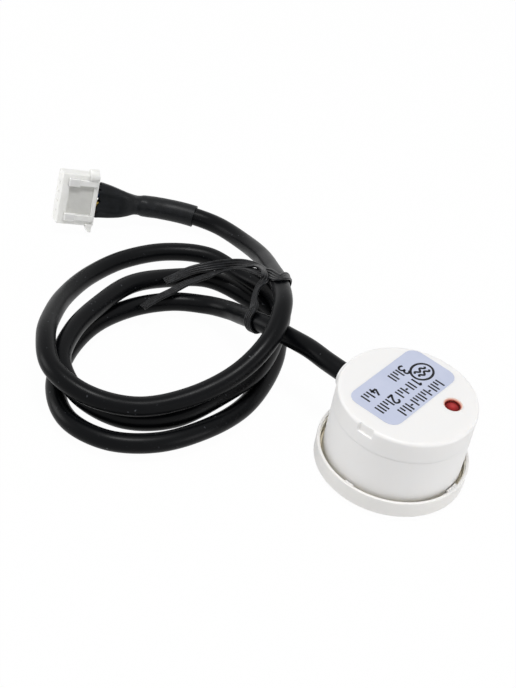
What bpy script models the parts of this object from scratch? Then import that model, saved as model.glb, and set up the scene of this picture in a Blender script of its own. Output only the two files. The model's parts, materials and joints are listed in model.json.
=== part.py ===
"""Contactless liquid level sensor: a round case in its mounting ring, with a coiled cable and a small plug.

Metres, +Z up. The origin is the centre of the sensing face, which lies on the floor, and the cable leaves
the head along -X. Sizes that can be set by themselves are named here, and everything else follows them.
"""

import math

import bmesh
import bpy
import numpy as np
from mathutils import Matrix, Vector

# Gaps
SEAT_GAP = 0.0003
SEAM_GAP = 0.0003
SKIN_GAP = 0.00015
JACKET_GAP = 0.00015
MERGE = 0.000005

# Case
CASE_DIAMETER = 0.0254
CASE_HEIGHT = 0.0164
CASE_WALL = 0.0012
CASE_FLOOR = 0.0010
FLOOR_COVE = 0.0011
FOOT_HEIGHT = 0.0009
SEAM_HEIGHT = 0.0120
TOP_THICKNESS = 0.0012
COVER_WALL = 0.0017
TOP_FILLET = 0.0006
SPIGOT_WALL = 0.0010
SPIGOT_RISE = 0.0011
NOTCH_WIDTH = 0.0030
NOTCH_DEPTH = 0.0006
NOTCH_HEIGHT = 0.0025

# Cable nozzle, half on each shell
NOZZLE_REACH = 0.0034
NOZZLE_ROOT_RADIUS = 0.0036
NOZZLE_TIP_RADIUS = 0.00245
NOZZLE_TIP_ROUND = 0.0003

# Mounting ring
RING_HEIGHT = 0.0033
RIM_GAP = 0.00075
RIM_WALL = 0.00055
RIM_CHAMFER = 0.00012
FLANGE_HEIGHT = 0.0006
FLANGE_LIP = 0.0007
TAB_GAP = 0.00025
TAB_THICKNESS = 0.0008
TAB_ANGLE = 12.0
STOP_ANGLE = 1.8
GUIDE_GAP = 0.00035
GUIDE_ANGLE = 7.5
GUIDE_HEIGHT = 0.0006
WINDOW_START = 8.0
WINDOW_ANGLE = 30.0
LUG_REACH = 0.0005
LUG_HEIGHT = 0.0010
LUG_START = -8.0
LUG_ANGLE = 10.7

# Label and indicator
LABEL_LENGTH = 0.0200
LABEL_WIDTH = 0.0105
LABEL_CORNER = 0.0016
LABEL_THICKNESS = 0.00015
LABEL_CENTRE = (-0.0018, 0.00085)
POCKET_DEPTH = 0.00035
POCKET_MARGIN = 0.0002
LED_CENTRE = (0.00684, 0.00396)
LED_RADIUS = 0.0013
LED_FLANGE = 0.00035
LED_FLANGE_HEIGHT = 0.0008
LED_SUNK = 0.0007
LED_HOLE_CHAMFER = 0.0003

# Board and what it carries
BOARD_THICKNESS = 0.0010
BOARD_MARGIN = 0.0006
BOARD_HEIGHT = 0.0083
RIB_WIDTH = 0.0012
RIB_DEPTH = 0.0016
ELECTRODE_RADIUS = 0.0085
ELECTRODE_THICKNESS = 0.0004
SPRING_RADIUS = 0.0022
SPRING_WIRE = 0.0005
SPRING_TURNS = 5
PAD_PITCH = 0.0020
PAD_ROW = -0.0052

# Cable
CABLE_DIAMETER = 0.00365
CORE_DIAMETER = 0.00095
JACKET_START = -0.0090
CORE_SPREAD = 0.00095
CORE_STACK = 0.00062

# Sleeve and plug
SLEEVE_WALL = 0.0003
SLEEVE_OVERLAP = 0.0064
SLEEVE_SHORT = 0.0012
SCALLOP_DEPTH = 0.0004
PLUG_LENGTH = 0.0075
PLUG_WIDTH = 0.0106
PLUG_THICKNESS = 0.0046
PLUG_PITCH = 0.0020
PLUG_ROUND = 0.0002
RAIL_HEIGHT = 0.0007
RAIL_WIDTH = 0.0013
RAIL_SHORT = 0.0025
CAVITY_WIDTH = 0.0015
CAVITY_HEIGHT = 0.0017
PIN_HOLE = 0.0009
MATING_WALL = 0.0010
WIRE_DEPTH = 0.0016
TERMINAL_LENGTH = 0.0034
EAR_LENGTH = 0.0022
EAR_REACH = 0.0009
PLUG_PLACE = (-0.08434, 0.00854)
PLUG_HEADING = 234.5
PLUG_LEAN = 70.5
PLUG_RISE = 8.6

# Twist tie
TIE_WIDTH = 0.0020
TIE_THICKNESS = 0.0006
TIE_GAP = 0.00055

# Fineness of the curved forms
ROUND_STEPS = 64
SMALL_STEPS = 20
ROUTE_STEPS = 12
CABLE_POINTS = 74

WALL_RADIUS = CASE_DIAMETER / 2
RIM_INNER = WALL_RADIUS + RIM_GAP
RING_RADIUS = RIM_INNER + RIM_WALL
CABLE_RADIUS = CABLE_DIAMETER / 2
CORE_RADIUS = CORE_DIAMETER / 2
FOOT_RADIUS = WALL_RADIUS - FLANGE_LIP - SEAT_GAP
CASE_BORE = WALL_RADIUS - CASE_WALL
SPIGOT_RADIUS = CASE_BORE - SEAT_GAP
BOARD_TOP = BOARD_HEIGHT + BOARD_THICKNESS
COVER_CEILING = CASE_HEIGHT - TOP_THICKNESS
NOZZLE_TIP = WALL_RADIUS + NOZZLE_REACH
CORES = 4

# The cable's way from the nozzle round the coil to the end of its jacket, chosen by eye
CABLE_ROUTE = (
    (-0.0130, 0.0000, 0.0120), (-0.0175, 0.0001, 0.0120), (-0.0221, 0.0007, 0.0117), (-0.0267, 0.0008, 0.0112),
    (-0.0313, 0.0008, 0.0107), (-0.0356, 0.0015, 0.0092), (-0.0395, 0.0031, 0.0069), (-0.0438, 0.0046, 0.0046),
    (-0.0491, 0.0041, 0.0028), (-0.0546, 0.0001, 0.0021), (-0.0584, -0.0072, 0.0019), (-0.0594, -0.0164, 0.0020),
    (-0.0570, -0.0258, 0.0019), (-0.0518, -0.0339, 0.0019), (-0.0443, -0.0382, 0.0019), (-0.0360, -0.0367, 0.0020),
    (-0.0297, -0.0305, 0.0021), (-0.0263, -0.0217, 0.0022), (-0.0256, -0.0123, 0.0019), (-0.0277, -0.0031, 0.0020),
    (-0.0316, 0.0052, 0.0025), (-0.0372, 0.0115, 0.0027), (-0.0455, 0.0130, 0.0026), (-0.0536, 0.0105, 0.0031),
    (-0.0587, 0.0037, 0.0036), (-0.0608, -0.0051, 0.0052), (-0.0598, -0.0146, 0.0060), (-0.0574, -0.0242, 0.0064),
    (-0.0528, -0.0319, 0.0062), (-0.0452, -0.0346, 0.0048), (-0.0373, -0.0315, 0.0030), (-0.0316, -0.0243, 0.0028),
    (-0.0289, -0.0151, 0.0045), (-0.0284, -0.0056, 0.0058), (-0.0315, 0.0033, 0.0068), (-0.0359, 0.0114, 0.0071),
    (-0.0422, 0.0166, 0.0049), (-0.0504, 0.0182, 0.0025), (-0.0591, 0.0167, 0.0024), (-0.0658, 0.0109, 0.0023),
    (-0.0695, 0.0025, 0.0022), (-0.0698, -0.0068, 0.0027), (-0.0673, -0.0158, 0.0043), (-0.0629, -0.0240, 0.0069),
    (-0.0574, -0.0315, 0.0091), (-0.0505, -0.0367, 0.0092), (-0.0423, -0.0361, 0.0080), (-0.0352, -0.0307, 0.0069),
    (-0.0303, -0.0226, 0.0077), (-0.0272, -0.0139, 0.0103), (-0.0270, -0.0055, 0.0137), (-0.0305, 0.0022, 0.0153),
    (-0.0363, 0.0090, 0.0134), (-0.0428, 0.0153, 0.0097), (-0.0498, 0.0212, 0.0061), (-0.0574, 0.0251, 0.0033),
    (-0.0648, 0.0262, 0.0023), (-0.0706, 0.0243, 0.0024), (-0.0756, 0.0212, 0.0026),
)
# Where the sleeved cores go from there to the plug
BUNDLE_ROUTE = ((-0.0794, 0.0168, 0.0034), (-0.0808, 0.0130, 0.0046))
# Sleeve sections: share of the way from the jacket's end to the sleeve's end, half width, half thickness
SLEEVE_SECTIONS = (
    (0.00, 0.00225, 0.00225), (0.15, 0.00220, 0.00220), (0.40, 0.00190, 0.00165),
    (0.69, 0.00265, 0.00135), (1.00, 0.00360, 0.00095),
)
# Where the tie runs round the strands: place along the cable's route, then degrees round the strand from the
# side that faces the head's front, over its top
TIE_WRAP = (
    (52.75, 62.0), (52.65, 100.0), (52.55, 145.0), (52.50, 180.0), (35.55, 185.0), (35.50, 228.0), (21.15, 226.0),
    (21.10, 262.0), (21.10, 298.0), (5.50, -62.0), (5.45, -20.0), (5.40, 20.0), (5.40, 60.0), (52.60, 15.0),
)
# The tie's two free ends, from their tips to the wrap and from the wrap to their tips
TIE_TAIL_ABOVE = (
    (-0.0567, 0.0001, 0.0050), (-0.0565, 0.0030, 0.0059), (-0.0555, 0.0066, 0.0058), (-0.0543, 0.0097, 0.0065),
    (-0.0519, 0.0122, 0.0080), (-0.0484, 0.0134, 0.0102), (-0.0467, 0.0144, 0.0110), (-0.0442, 0.0144, 0.0118),
)
TIE_TAIL_BELOW = (
    (-0.0433, 0.0123, 0.0116), (-0.0461, 0.0124, 0.0098), (-0.0489, 0.0125, 0.0078), (-0.0512, 0.0121, 0.0063),
    (-0.0522, 0.0089, 0.0055), (-0.0530, 0.0069, 0.0053), (-0.0538, 0.0028, 0.0049), (-0.0542, 0.0010, 0.0048),
    (-0.0547, -0.0017, 0.0050), (-0.0548, -0.0051, 0.0052), (-0.0545, -0.0088, 0.0053),
)


def linear_colour(code):
    """The linear colour of an sRGB code such as F0F0EE."""
    channels = [int(code[i:i + 2], 16) / 255 for i in (0, 2, 4)]
    linear = [c / 12.92 if c <= 0.04045 else ((c + 0.055) / 1.055) ** 2.4 for c in channels]
    return (*linear, 1.0)


def finish(name, code, roughness, metallic=0.0):
    """A plain material."""
    material = bpy.data.materials.new(name)
    material.use_nodes = True
    shader = material.node_tree.nodes["Principled BSDF"]
    shader.inputs["Base Color"].default_value = linear_colour(code)
    shader.inputs["Roughness"].default_value = roughness
    shader.inputs["Metallic"].default_value = metallic
    return material


def empty_scene():
    """Removes what a new file holds, and makes the two collections."""
    for item in list(bpy.data.objects):
        bpy.data.objects.remove(item, do_unlink=True)
    groups = []
    for name in ("liquid_level_sensor", "cutters"):
        group = bpy.data.collections.new(name)
        bpy.context.scene.collection.children.link(group)
        groups.append(group)
    return groups


PARTS, CUTTERS = empty_scene()


def add_empty(name, location, rotation=(0, 0, 0), parent=None):
    """An empty that carries pieces."""
    empty = bpy.data.objects.new(name, None)
    empty.location = location
    empty.rotation_euler = rotation
    empty.parent = parent
    PARTS.objects.link(empty)
    return empty


def add_mesh(name, mesh, material=None, parent=None):
    """An object with this mesh: a piece where it has a material, and otherwise a cutter."""
    piece = bpy.data.objects.new(name, mesh)
    piece.parent = parent
    if material:
        mesh.materials.append(material)
        PARTS.objects.link(piece)
    else:
        piece.hide_render = True
        piece.display_type = "WIRE"
        CUTTERS.objects.link(piece)
    return piece


def mesh_of(name, work):
    """The bmesh as a mesh, smooth where it is round."""
    bmesh.ops.recalc_face_normals(work, faces=work.faces)
    mesh = bpy.data.meshes.new(name)
    work.to_mesh(mesh)
    work.free()
    mesh.shade_smooth()
    mesh.set_sharp_from_angle(angle=math.radians(35))
    return mesh


def turned(name, profile, material=None, parent=None, steps=ROUND_STEPS, closed=False):
    """A solid of revolution round local Z, from (radius, height) points that run down the outer side."""
    mesh = bpy.data.meshes.new(name)
    edges = [(i, i + 1) for i in range(len(profile) - 1)]
    if closed:
        edges.append((len(profile) - 1, 0))
    mesh.from_pydata([(radius, 0, height) for radius, height in profile], edges, [])
    piece = add_mesh(name, mesh, material, parent)
    screw = piece.modifiers.new("turn", "SCREW")
    screw.axis = "Z"
    screw.angle = math.tau
    screw.steps = steps
    screw.render_steps = steps
    screw.use_merge_vertices = True
    screw.merge_threshold = MERGE
    screw.use_smooth_shade = True
    return piece


def plate(name, outline, bottom, top, material=None, parent=None):
    """A flat outline in XY made solid between two heights."""
    work = bmesh.new()
    face = work.faces.new([work.verts.new((x, y, bottom)) for x, y in outline])
    raised = bmesh.ops.extrude_face_region(work, geom=[face])["geom"]
    corners = [item for item in raised if isinstance(item, bmesh.types.BMVert)]
    bmesh.ops.translate(work, verts=corners, vec=(0, 0, top - bottom))
    return add_mesh(name, mesh_of(name, work), material, parent)


def sector(name, inner, outer, start, sweep, bottom, top):
    """A piece of a flat ring, with its angles in degrees."""
    steps = max(2, round(abs(sweep) / 3))
    turns = [math.radians(start + sweep * i / steps) for i in range(steps + 1)]
    outline = [(outer * math.cos(turn), outer * math.sin(turn)) for turn in turns]
    outline += [(inner * math.cos(turn), inner * math.sin(turn)) for turn in reversed(turns)]
    return plate(name, outline, bottom, top)


def block(name, size, centre, material=None, parent=None, rounding=0.0, turn=0.0):
    """A box, with its edges rounded if asked."""
    work = bmesh.new()
    bmesh.ops.create_cube(work, size=1.0, matrix=Matrix.Diagonal((*size, 1.0)))
    piece = add_mesh(name, mesh_of(name, work), material, parent)
    piece.location = centre
    piece.rotation_euler = (0, 0, turn)
    if rounding:
        bevel = piece.modifiers.new("round", "BEVEL")
        bevel.width = rounding
        bevel.segments = 2
        bevel.limit_method = "ANGLE"
    return piece


def combine(piece, other, how):
    """Adds a Boolean of the other object to the piece."""
    step = piece.modifiers.new(f"{how.lower()} {other.name}", "BOOLEAN")
    step.object = other
    step.operation = how
    step.solver = "EXACT"


def cut(piece, *cutters):
    """Takes the cutters out of the piece."""
    for cutter in cutters:
        combine(piece, cutter, "DIFFERENCE")


def join(piece, *others):
    """Joins the others to the piece."""
    for other in others:
        combine(piece, other, "UNION")


def tube(name, points, radius, material, parent=None):
    """A round wire through the points."""
    curve = bpy.data.curves.new(name, "CURVE")
    curve.dimensions = "3D"
    curve.bevel_depth = radius
    curve.bevel_resolution = 2
    curve.use_fill_caps = True
    curve.materials.append(material)
    spline = curve.splines.new("POLY")
    spline.points.add(len(points) - 1)
    for point, place in zip(spline.points, points):
        point.co = (*place, 1.0)
    piece = bpy.data.objects.new(name, curve)
    piece.parent = parent
    PARTS.objects.link(piece)
    return piece


def arc(centre, radius, start, sweep, steps):
    """Points along an arc in a plane, with its angles in degrees."""
    turns = [math.radians(start + sweep * i / steps) for i in range(steps + 1)]
    return [(centre[0] + radius * math.cos(t), centre[1] + radius * math.sin(t)) for t in turns]


def rounded_rectangle(width, length, corner, centre):
    """The outline of a rectangle with round corners."""
    reach_x = width / 2 - corner
    reach_y = length / 2 - corner
    outline = []
    for start, side_x, side_y in ((0, 1, 1), (90, -1, 1), (180, -1, -1), (270, 1, -1)):
        middle = (centre[0] + side_x * reach_x, centre[1] + side_y * reach_y)
        outline += arc(middle, corner, start, 90, 5)
    return outline


def smooth(points, steps=ROUTE_STEPS):
    """A smooth curve through the points, with this many steps from each to the next."""
    known = np.array(points, float)
    known = np.vstack([2 * known[0] - known[1], known, 2 * known[-1] - known[-2]])
    curve = []
    for a, b, c, d in zip(known, known[1:], known[2:], known[3:]):
        for t in np.arange(steps) / steps:
            slope = (c - a) * t + (2 * a - 5 * b + 4 * c - d) * t**2 + (3 * b - a - 3 * c + d) * t**3
            curve.append(b + slope / 2)
    return np.array(curve + [known[-2]])


def travelled(curve):
    """How far along the curve each of its points lies."""
    return np.concatenate([[0.0], np.cumsum(np.linalg.norm(np.diff(curve[:, :3], axis=0), axis=1))])


def along(curve, places):
    """The curve's points at these distances from its start."""
    reached = travelled(curve)
    return np.column_stack([np.interp(places, reached, column) for column in curve.T])


def spaced(curve, start, end, count):
    """This many points, evenly spaced from one distance along the curve to another."""
    return along(curve, np.linspace(start, end, count))


def unit(vector):
    """The vector at length one."""
    return vector / np.linalg.norm(vector)


def nozzle(name):
    """The tapered nozzle as a whole, from inside the wall to its tip."""
    root = WALL_RADIUS - CASE_WALL * 0.6
    straight = WALL_RADIUS + SEAT_GAP
    taper_end = NOZZLE_TIP - NOZZLE_TIP_ROUND
    profile = [(0, NOZZLE_TIP), (NOZZLE_TIP_RADIUS - NOZZLE_TIP_ROUND, NOZZLE_TIP)]
    for share in (0.0, 0.2, 0.4, 0.6, 0.8, 1.0):
        radius = NOZZLE_TIP_RADIUS + (NOZZLE_ROOT_RADIUS - NOZZLE_TIP_RADIUS) * share**1.6
        profile.append((radius, taper_end - (taper_end - straight) * share))
    profile += [(NOZZLE_ROOT_RADIUS, root), (0, root)]
    piece = turned(name, profile, steps=24)
    piece.location = (0, 0, SEAM_HEIGHT)
    piece.rotation_euler = (0, -math.pi / 2, 0)
    return piece


def cable_bore(name):
    """The round way for the cable through wall and nozzle."""
    inner = -JACKET_START - SEAT_GAP
    outer = NOZZLE_TIP + CASE_WALL
    radius = CABLE_RADIUS + JACKET_GAP
    piece = turned(name, [(0, outer), (radius, outer), (radius, inner), (0, inner)], steps=SMALL_STEPS)
    piece.location = (0, 0, SEAM_HEIGHT)
    piece.rotation_euler = (0, -math.pi / 2, 0)
    return piece


def half_space(name, above):
    """A block over or under the seam, as wide as the head with its nozzle."""
    side = 3 * CASE_DIAMETER
    height = CASE_HEIGHT
    offset = (height - SEAM_GAP) / 2
    return block(name, (side, side, height), (0, 0, SEAM_HEIGHT + (offset if above else -offset)))


def make_case_shell(material, parent):
    """The lower cup: sensing face, wall, bayonet lugs, board ribs and half of the nozzle."""
    top = SEAM_HEIGHT + SEAM_GAP
    profile = [
        (0, CASE_FLOOR), (CASE_BORE - FLOOR_COVE, CASE_FLOOR), (CASE_BORE, CASE_FLOOR + FLOOR_COVE),
        (CASE_BORE, top), (WALL_RADIUS, top), (WALL_RADIUS, FOOT_HEIGHT), (FOOT_RADIUS, FOOT_HEIGHT),
        (FOOT_RADIUS, 0), (0, 0),
    ]
    shell = turned("case_shell", profile, material, parent)
    lug_bottom = FOOT_HEIGHT + SEAT_GAP / 2
    for number, start in enumerate((LUG_START, LUG_START + 180), 1):
        lug = sector(f"bayonet lug {number}", WALL_RADIUS - CASE_WALL / 2, WALL_RADIUS + LUG_REACH, start, LUG_ANGLE,
                     lug_bottom, lug_bottom + LUG_HEIGHT)
        join(shell, lug)
    for quarter in range(4):
        turn = math.radians(45 + 90 * quarter)
        reach = CASE_BORE + CASE_WALL / 2 - RIB_DEPTH / 2
        rib_top = BOARD_HEIGHT - SEAT_GAP
        rib_bottom = FOOT_HEIGHT + SKIN_GAP
        rib = block(f"board rib {quarter + 1}", (RIB_DEPTH, RIB_WIDTH, rib_top - rib_bottom),
                    (reach * math.cos(turn), reach * math.sin(turn), (rib_top + rib_bottom) / 2), turn=turn)
        join(shell, rib)
    join(shell, nozzle("lower nozzle"))
    cut(shell, cable_bore("lower cable bore"), half_space("above the seam", True))
    return shell


def make_top_cover(material, parent):
    """The upper cup: top, wall, spigot, notches, lamp hole, label pocket and half of the nozzle."""
    inner = WALL_RADIUS - COVER_WALL
    bottom = SEAM_HEIGHT - SEAM_GAP
    corner = arc((WALL_RADIUS - TOP_FILLET, CASE_HEIGHT - TOP_FILLET), TOP_FILLET, 90, -90, 4)
    profile = [(0, CASE_HEIGHT), *corner, (WALL_RADIUS, bottom), (inner, bottom), (inner, COVER_CEILING),
               (0, COVER_CEILING)]
    cover = turned("top_cover", profile, material, parent)
    join(cover, nozzle("upper nozzle"))
    cut(cover, cable_bore("upper cable bore"), half_space("below the seam", False))
    join(cover, make_spigot())
    for side, name in ((1, "left"), (-1, "right")):
        cut(cover, block(f"{name} notch", (NOTCH_WIDTH, 2 * NOTCH_DEPTH, 2 * NOTCH_HEIGHT),
                         (0, side * WALL_RADIUS, CASE_HEIGHT)))
    cut(cover, lamp_hole(), label_pocket())
    return cover


def make_spigot():
    """The cover's inner lip, which centres it in the case, open where the cable passes."""
    low = BOARD_TOP + SEAT_GAP
    high = SEAM_HEIGHT + SPIGOT_RISE
    inner = SPIGOT_RADIUS - SPIGOT_WALL
    lip = turned("spigot", [(inner, high), (SPIGOT_RADIUS, high), (SPIGOT_RADIUS, low), (inner, low)], closed=True)
    width = 2 * (CABLE_RADIUS + JACKET_GAP)
    depth = 3 * SPIGOT_WALL
    height = 2 * (high - low)
    cut(lip, block("cable gap in the spigot", (depth, width, height), (-SPIGOT_RADIUS + SPIGOT_WALL / 2, 0, low)))
    cut(lip, cable_bore("cable bore in the spigot"))
    return lip


def lamp_hole():
    """The chamfered hole over the lamp."""
    radius = LED_RADIUS + JACKET_GAP
    over = LED_HOLE_CHAMFER
    low = COVER_CEILING - TOP_THICKNESS / 2
    profile = [(0, CASE_HEIGHT + over), (radius + 2 * over, CASE_HEIGHT + over), (radius, CASE_HEIGHT - over),
               (radius, low), (0, low)]
    hole = turned("lamp hole", profile, steps=28)
    hole.location = (*LED_CENTRE, 0)
    return hole


def label_pocket():
    """The shallow pocket that the label lies in."""
    outline = rounded_rectangle(LABEL_WIDTH + 2 * POCKET_MARGIN, LABEL_LENGTH + 2 * POCKET_MARGIN,
                                LABEL_CORNER + POCKET_MARGIN, LABEL_CENTRE)
    return plate("label pocket", outline, CASE_HEIGHT - POCKET_DEPTH, CASE_HEIGHT + POCKET_DEPTH)


def make_label(material, parent):
    """The sticker in the pocket."""
    outline = rounded_rectangle(LABEL_WIDTH, LABEL_LENGTH, LABEL_CORNER, LABEL_CENTRE)
    low = CASE_HEIGHT - POCKET_DEPTH + SKIN_GAP
    return plate("label", outline, low, low + LABEL_THICKNESS, material, parent)


def make_mounting_ring(material, parent):
    """The ring that is stuck to the tank: rim, flange, bayonet tabs with their stops, and guide bumps."""
    chamfer = RIM_CHAMFER
    flange_inner = FOOT_RADIUS + SEAT_GAP
    profile = [
        (RIM_INNER, RING_HEIGHT), (RING_RADIUS - chamfer, RING_HEIGHT), (RING_RADIUS, RING_HEIGHT - chamfer),
        (RING_RADIUS, 0), (flange_inner, 0), (flange_inner, FLANGE_HEIGHT), (RIM_INNER, FLANGE_HEIGHT),
    ]
    ring = turned("mounting_ring", profile, material, parent, closed=True)
    middle_of_rim = RIM_INNER + RIM_WALL / 2
    top = RING_HEIGHT - chamfer
    for side, name in ((0, "front"), (180, "rear")):
        tab = sector(f"{name} tab", WALL_RADIUS + TAB_GAP, middle_of_rim, side - TAB_ANGLE / 2, TAB_ANGLE,
                     top - TAB_THICKNESS, top)
        lug_end = LUG_START + LUG_ANGLE
        stop_start = lug_end + math.degrees(SEAT_GAP / WALL_RADIUS)
        stop = sector(f"{name} stop", WALL_RADIUS + TAB_GAP, middle_of_rim, side + stop_start, STOP_ANGLE,
                      FLANGE_HEIGHT / 2, top - TAB_THICKNESS / 2)
        join(ring, tab, stop)
        bump = sector(f"{name} guide", WALL_RADIUS + GUIDE_GAP, middle_of_rim, side + 90 - GUIDE_ANGLE / 2,
                      GUIDE_ANGLE, top - GUIDE_HEIGHT, top)
        join(ring, bump)
        window = sector(f"{name} window", flange_inner - SEAT_GAP, RIM_INNER - SKIN_GAP, side + WINDOW_START,
                        WINDOW_ANGLE, -FLANGE_HEIGHT, 2 * FLANGE_HEIGHT)
        cut(ring, window)
    return ring


def make_board(material, parent):
    """The round circuit board on the ribs."""
    radius = CASE_BORE - BOARD_MARGIN
    profile = [(0, BOARD_TOP), (radius, BOARD_TOP), (radius, BOARD_HEIGHT), (0, BOARD_HEIGHT)]
    return turned("circuit_board", profile, material, parent, steps=48)


def make_electrode(material, parent):
    """The sensing disc that lies on the case floor."""
    low = CASE_FLOOR + SEAT_GAP
    high = low + ELECTRODE_THICKNESS
    profile = [(0, high), (ELECTRODE_RADIUS, high), (ELECTRODE_RADIUS, low), (0, low)]
    return turned("sensing_electrode", profile, material, parent, steps=40)


def make_contact_spring(material, parent):
    """The coil spring between electrode and board."""
    low = CASE_FLOOR + 2 * SEAT_GAP + ELECTRODE_THICKNESS + SPRING_WIRE / 2
    high = BOARD_HEIGHT - SEAT_GAP - SPRING_WIRE / 2
    per_turn = 12
    count = SPRING_TURNS * per_turn
    points = []
    for i in range(count + 1):
        turn = math.tau * i / per_turn
        rise = low + (high - low) * i / count
        points.append((SPRING_RADIUS * math.cos(turn), SPRING_RADIUS * math.sin(turn), rise))
    return tube("contact_spring", points, SPRING_WIRE / 2, material, parent)


def make_led(material, parent):
    """The round lamp: a flange on the board, a body and a domed tip in the cover's hole."""
    low = BOARD_TOP + SEAT_GAP
    tip = CASE_HEIGHT - LED_SUNK
    base = LED_RADIUS + LED_FLANGE
    dome = arc((0, tip - LED_RADIUS), LED_RADIUS, 90, -90, 6)
    profile = [(max(radius, 0), height) for radius, height in dome]
    profile += [(LED_RADIUS, low + LED_FLANGE_HEIGHT), (base, low + LED_FLANGE_HEIGHT), (base, low), (0, low)]
    lamp = turned("indicator_led", profile, material, parent, steps=SMALL_STEPS)
    lamp.location = (*LED_CENTRE, 0)
    return lamp


def make_chip(name, size, centre, legs, pitch, materials, parent):
    """A chip with this many bent legs along each long side."""
    length, width, height = size
    foot = 0.0002
    lift = BOARD_TOP + SEAT_GAP
    body = block(name, (length, width, height - foot), (*centre, lift + foot + (height - foot) / 2), materials, parent,
                 rounding=0.00015)
    reach = 0.0009
    shoulder = height * 0.55
    for side in (1, -1):
        for number in range(legs):
            x = centre[0] + (number - (legs - 1) / 2) * pitch
            name_of_leg = f"{name} leg {number + 1} {'left' if side > 0 else 'right'}"
            outline = [(-foot, shoulder), (reach / 2, shoulder), (reach / 2, foot), (reach, foot), (reach, 0),
                       (reach / 2 - foot, 0), (reach / 2 - foot, shoulder - foot), (-foot, shoulder - foot)]
            leg = plate(name_of_leg, outline, -foot, foot)
            leg.matrix_world = Matrix.Translation((x, centre[1] + side * width / 2, lift)) @ Matrix(
                ((0, 0, 1, 0), (side, 0, 0, 0), (0, 1, 0, 0), (0, 0, 0, 1)))
            join(body, leg)
    return body


def make_block_parts(finishes, parent):
    """The board's capacitors and resistors, each a small block with round edges."""
    parts = (
        ("capacitor_1", (0.0032, 0.0016, 0.0012), (0.0055, -0.0050), "capacitor", 60),
        ("capacitor_2", (0.0032, 0.0016, 0.0012), (-0.0012, 0.0022), "capacitor", 0),
        ("resistor_1", (0.0020, 0.00125, 0.0006), (0.0035, 0.0004), "resistor", 90),
        ("resistor_2", (0.0020, 0.00125, 0.0006), (0.0060, -0.0010), "resistor", 90),
        ("resistor_3", (0.0020, 0.00125, 0.0006), (0.0022, 0.0078), "resistor", 0),
    )
    for name, size, centre, finish_name, turn in parts:
        height = BOARD_TOP + SEAT_GAP + size[2] / 2
        block(name, size, (*centre, height), finishes[finish_name], parent, rounding=0.0001, turn=math.radians(turn))


def core_offsets():
    """Where the cores lie in the jacket, across it and up, in their order along the plug."""
    return ((-CORE_SPREAD, 0), (0, CORE_STACK), (0, -CORE_STACK), (CORE_SPREAD, 0))


def make_board_cores(finishes, parent):
    """The cores from the jacket's inner end down to the board's pads."""
    pad_top = BOARD_TOP + SEAT_GAP
    for number, (across, up) in enumerate(core_offsets(), 1):
        pad = (number - (CORES + 1) / 2) * PAD_PITCH
        start = JACKET_START + SEAT_GAP
        points = [
            (start, across, SEAM_HEIGHT + up),
            (start + CORE_DIAMETER, across * 1.1 + pad * 0.05, SEAM_HEIGHT + up),
            (PAD_ROW - 0.3 * CORE_DIAMETER, pad, pad_top + 1.2 * CORE_DIAMETER),
            (PAD_ROW, pad, pad_top),
        ]
        tube(f"board_core_{number}", smooth(points, 4), CORE_RADIUS, finishes[f"core_{number}"], parent)


def plug_height():
    """How high the plug's wire face lies when its lowest corner meets the floor."""
    lean = math.radians(PLUG_LEAN)
    rise = math.cos(math.radians(PLUG_RISE))
    return rise * (PLUG_WIDTH / 2 * math.sin(lean) + PLUG_THICKNESS / 2 * math.cos(lean))


def plug_frame():
    """The plug's location and rotation: X in its mating direction, Y down its width, Z out of its front."""
    turns = (math.radians(-PLUG_LEAN), math.radians(-PLUG_RISE), math.radians(PLUG_HEADING))
    return (*PLUG_PLACE, plug_height()), turns


def plug_matrix():
    """The same as a matrix."""
    place, turns = plug_frame()
    spin = Matrix.Rotation(turns[2], 4, "Z") @ Matrix.Rotation(turns[1], 4, "Y") @ Matrix.Rotation(turns[0], 4, "X")
    return Matrix.Translation(place) @ spin


def whole_route():
    """The smooth way from the board to the plug's wire face, and how far along it the jacket and sleeve end."""
    frame = plug_matrix()
    sleeve_end = tuple(frame @ Vector((-SLEEVE_SHORT, 0, 0)))
    wire_face = tuple(frame @ Vector((0, 0, 0)))
    inside = (JACKET_START, 0, SEAM_HEIGHT)
    points = [inside, *CABLE_ROUTE, *BUNDLE_ROUTE, sleeve_end, wire_face]
    curve = smooth(points)
    reached = travelled(curve)
    jacket_end = reached[ROUTE_STEPS * len(CABLE_ROUTE)]
    sleeve_end = reached[ROUTE_STEPS * (len(points) - 2)]
    return curve, jacket_end, sleeve_end


def make_cable(route, material, parent):
    """The jacketed cable from inside the head to its end in the sleeve."""
    curve, jacket_end, _ = route
    sleeve_start = jacket_end - SLEEVE_OVERLAP
    points = list(spaced(curve, 0, sleeve_start, CABLE_POINTS)) + list(spaced(curve, sleeve_start, jacket_end, 4))[1:]
    return tube("cable", points, CABLE_RADIUS, material, parent)


def sections_along(curve, places):
    """At each place: the centre, the way along, the way across the plug's width, and the third way."""
    across_plug = -np.array(plug_matrix().to_3x3().col[1])
    step = CABLE_RADIUS / 4
    centres = along(curve, places)
    ahead = along(curve, np.asarray(places) + step) - along(curve, np.asarray(places) - step)
    frames = []
    for centre, way in zip(centres, ahead):
        way = unit(way)
        across = unit(across_plug - way * float(across_plug @ way))
        frames.append((centre, way, across, np.cross(way, across)))
    return frames


def row_pitch():
    """The spacing of the four cores side by side at the sleeve's flat end."""
    room = SLEEVE_SECTIONS[-1][1] - SLEEVE_WALL - CORE_RADIUS - SKIN_GAP
    return 2 * room / (CORES - 1)


def sleeve_outline(turn, wide, thin):
    """A point of the sleeve's section, which goes from a circle to a flat oval as it widens."""
    squareness = 2 + 2 * min(1.0, (wide / thin - 1) / 1.5)
    power = 2 / squareness
    x = math.copysign(abs(math.cos(turn)) ** power, math.cos(turn))
    y = math.copysign(abs(math.sin(turn)) ** power, math.sin(turn))
    return wide * x, thin * y


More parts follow.
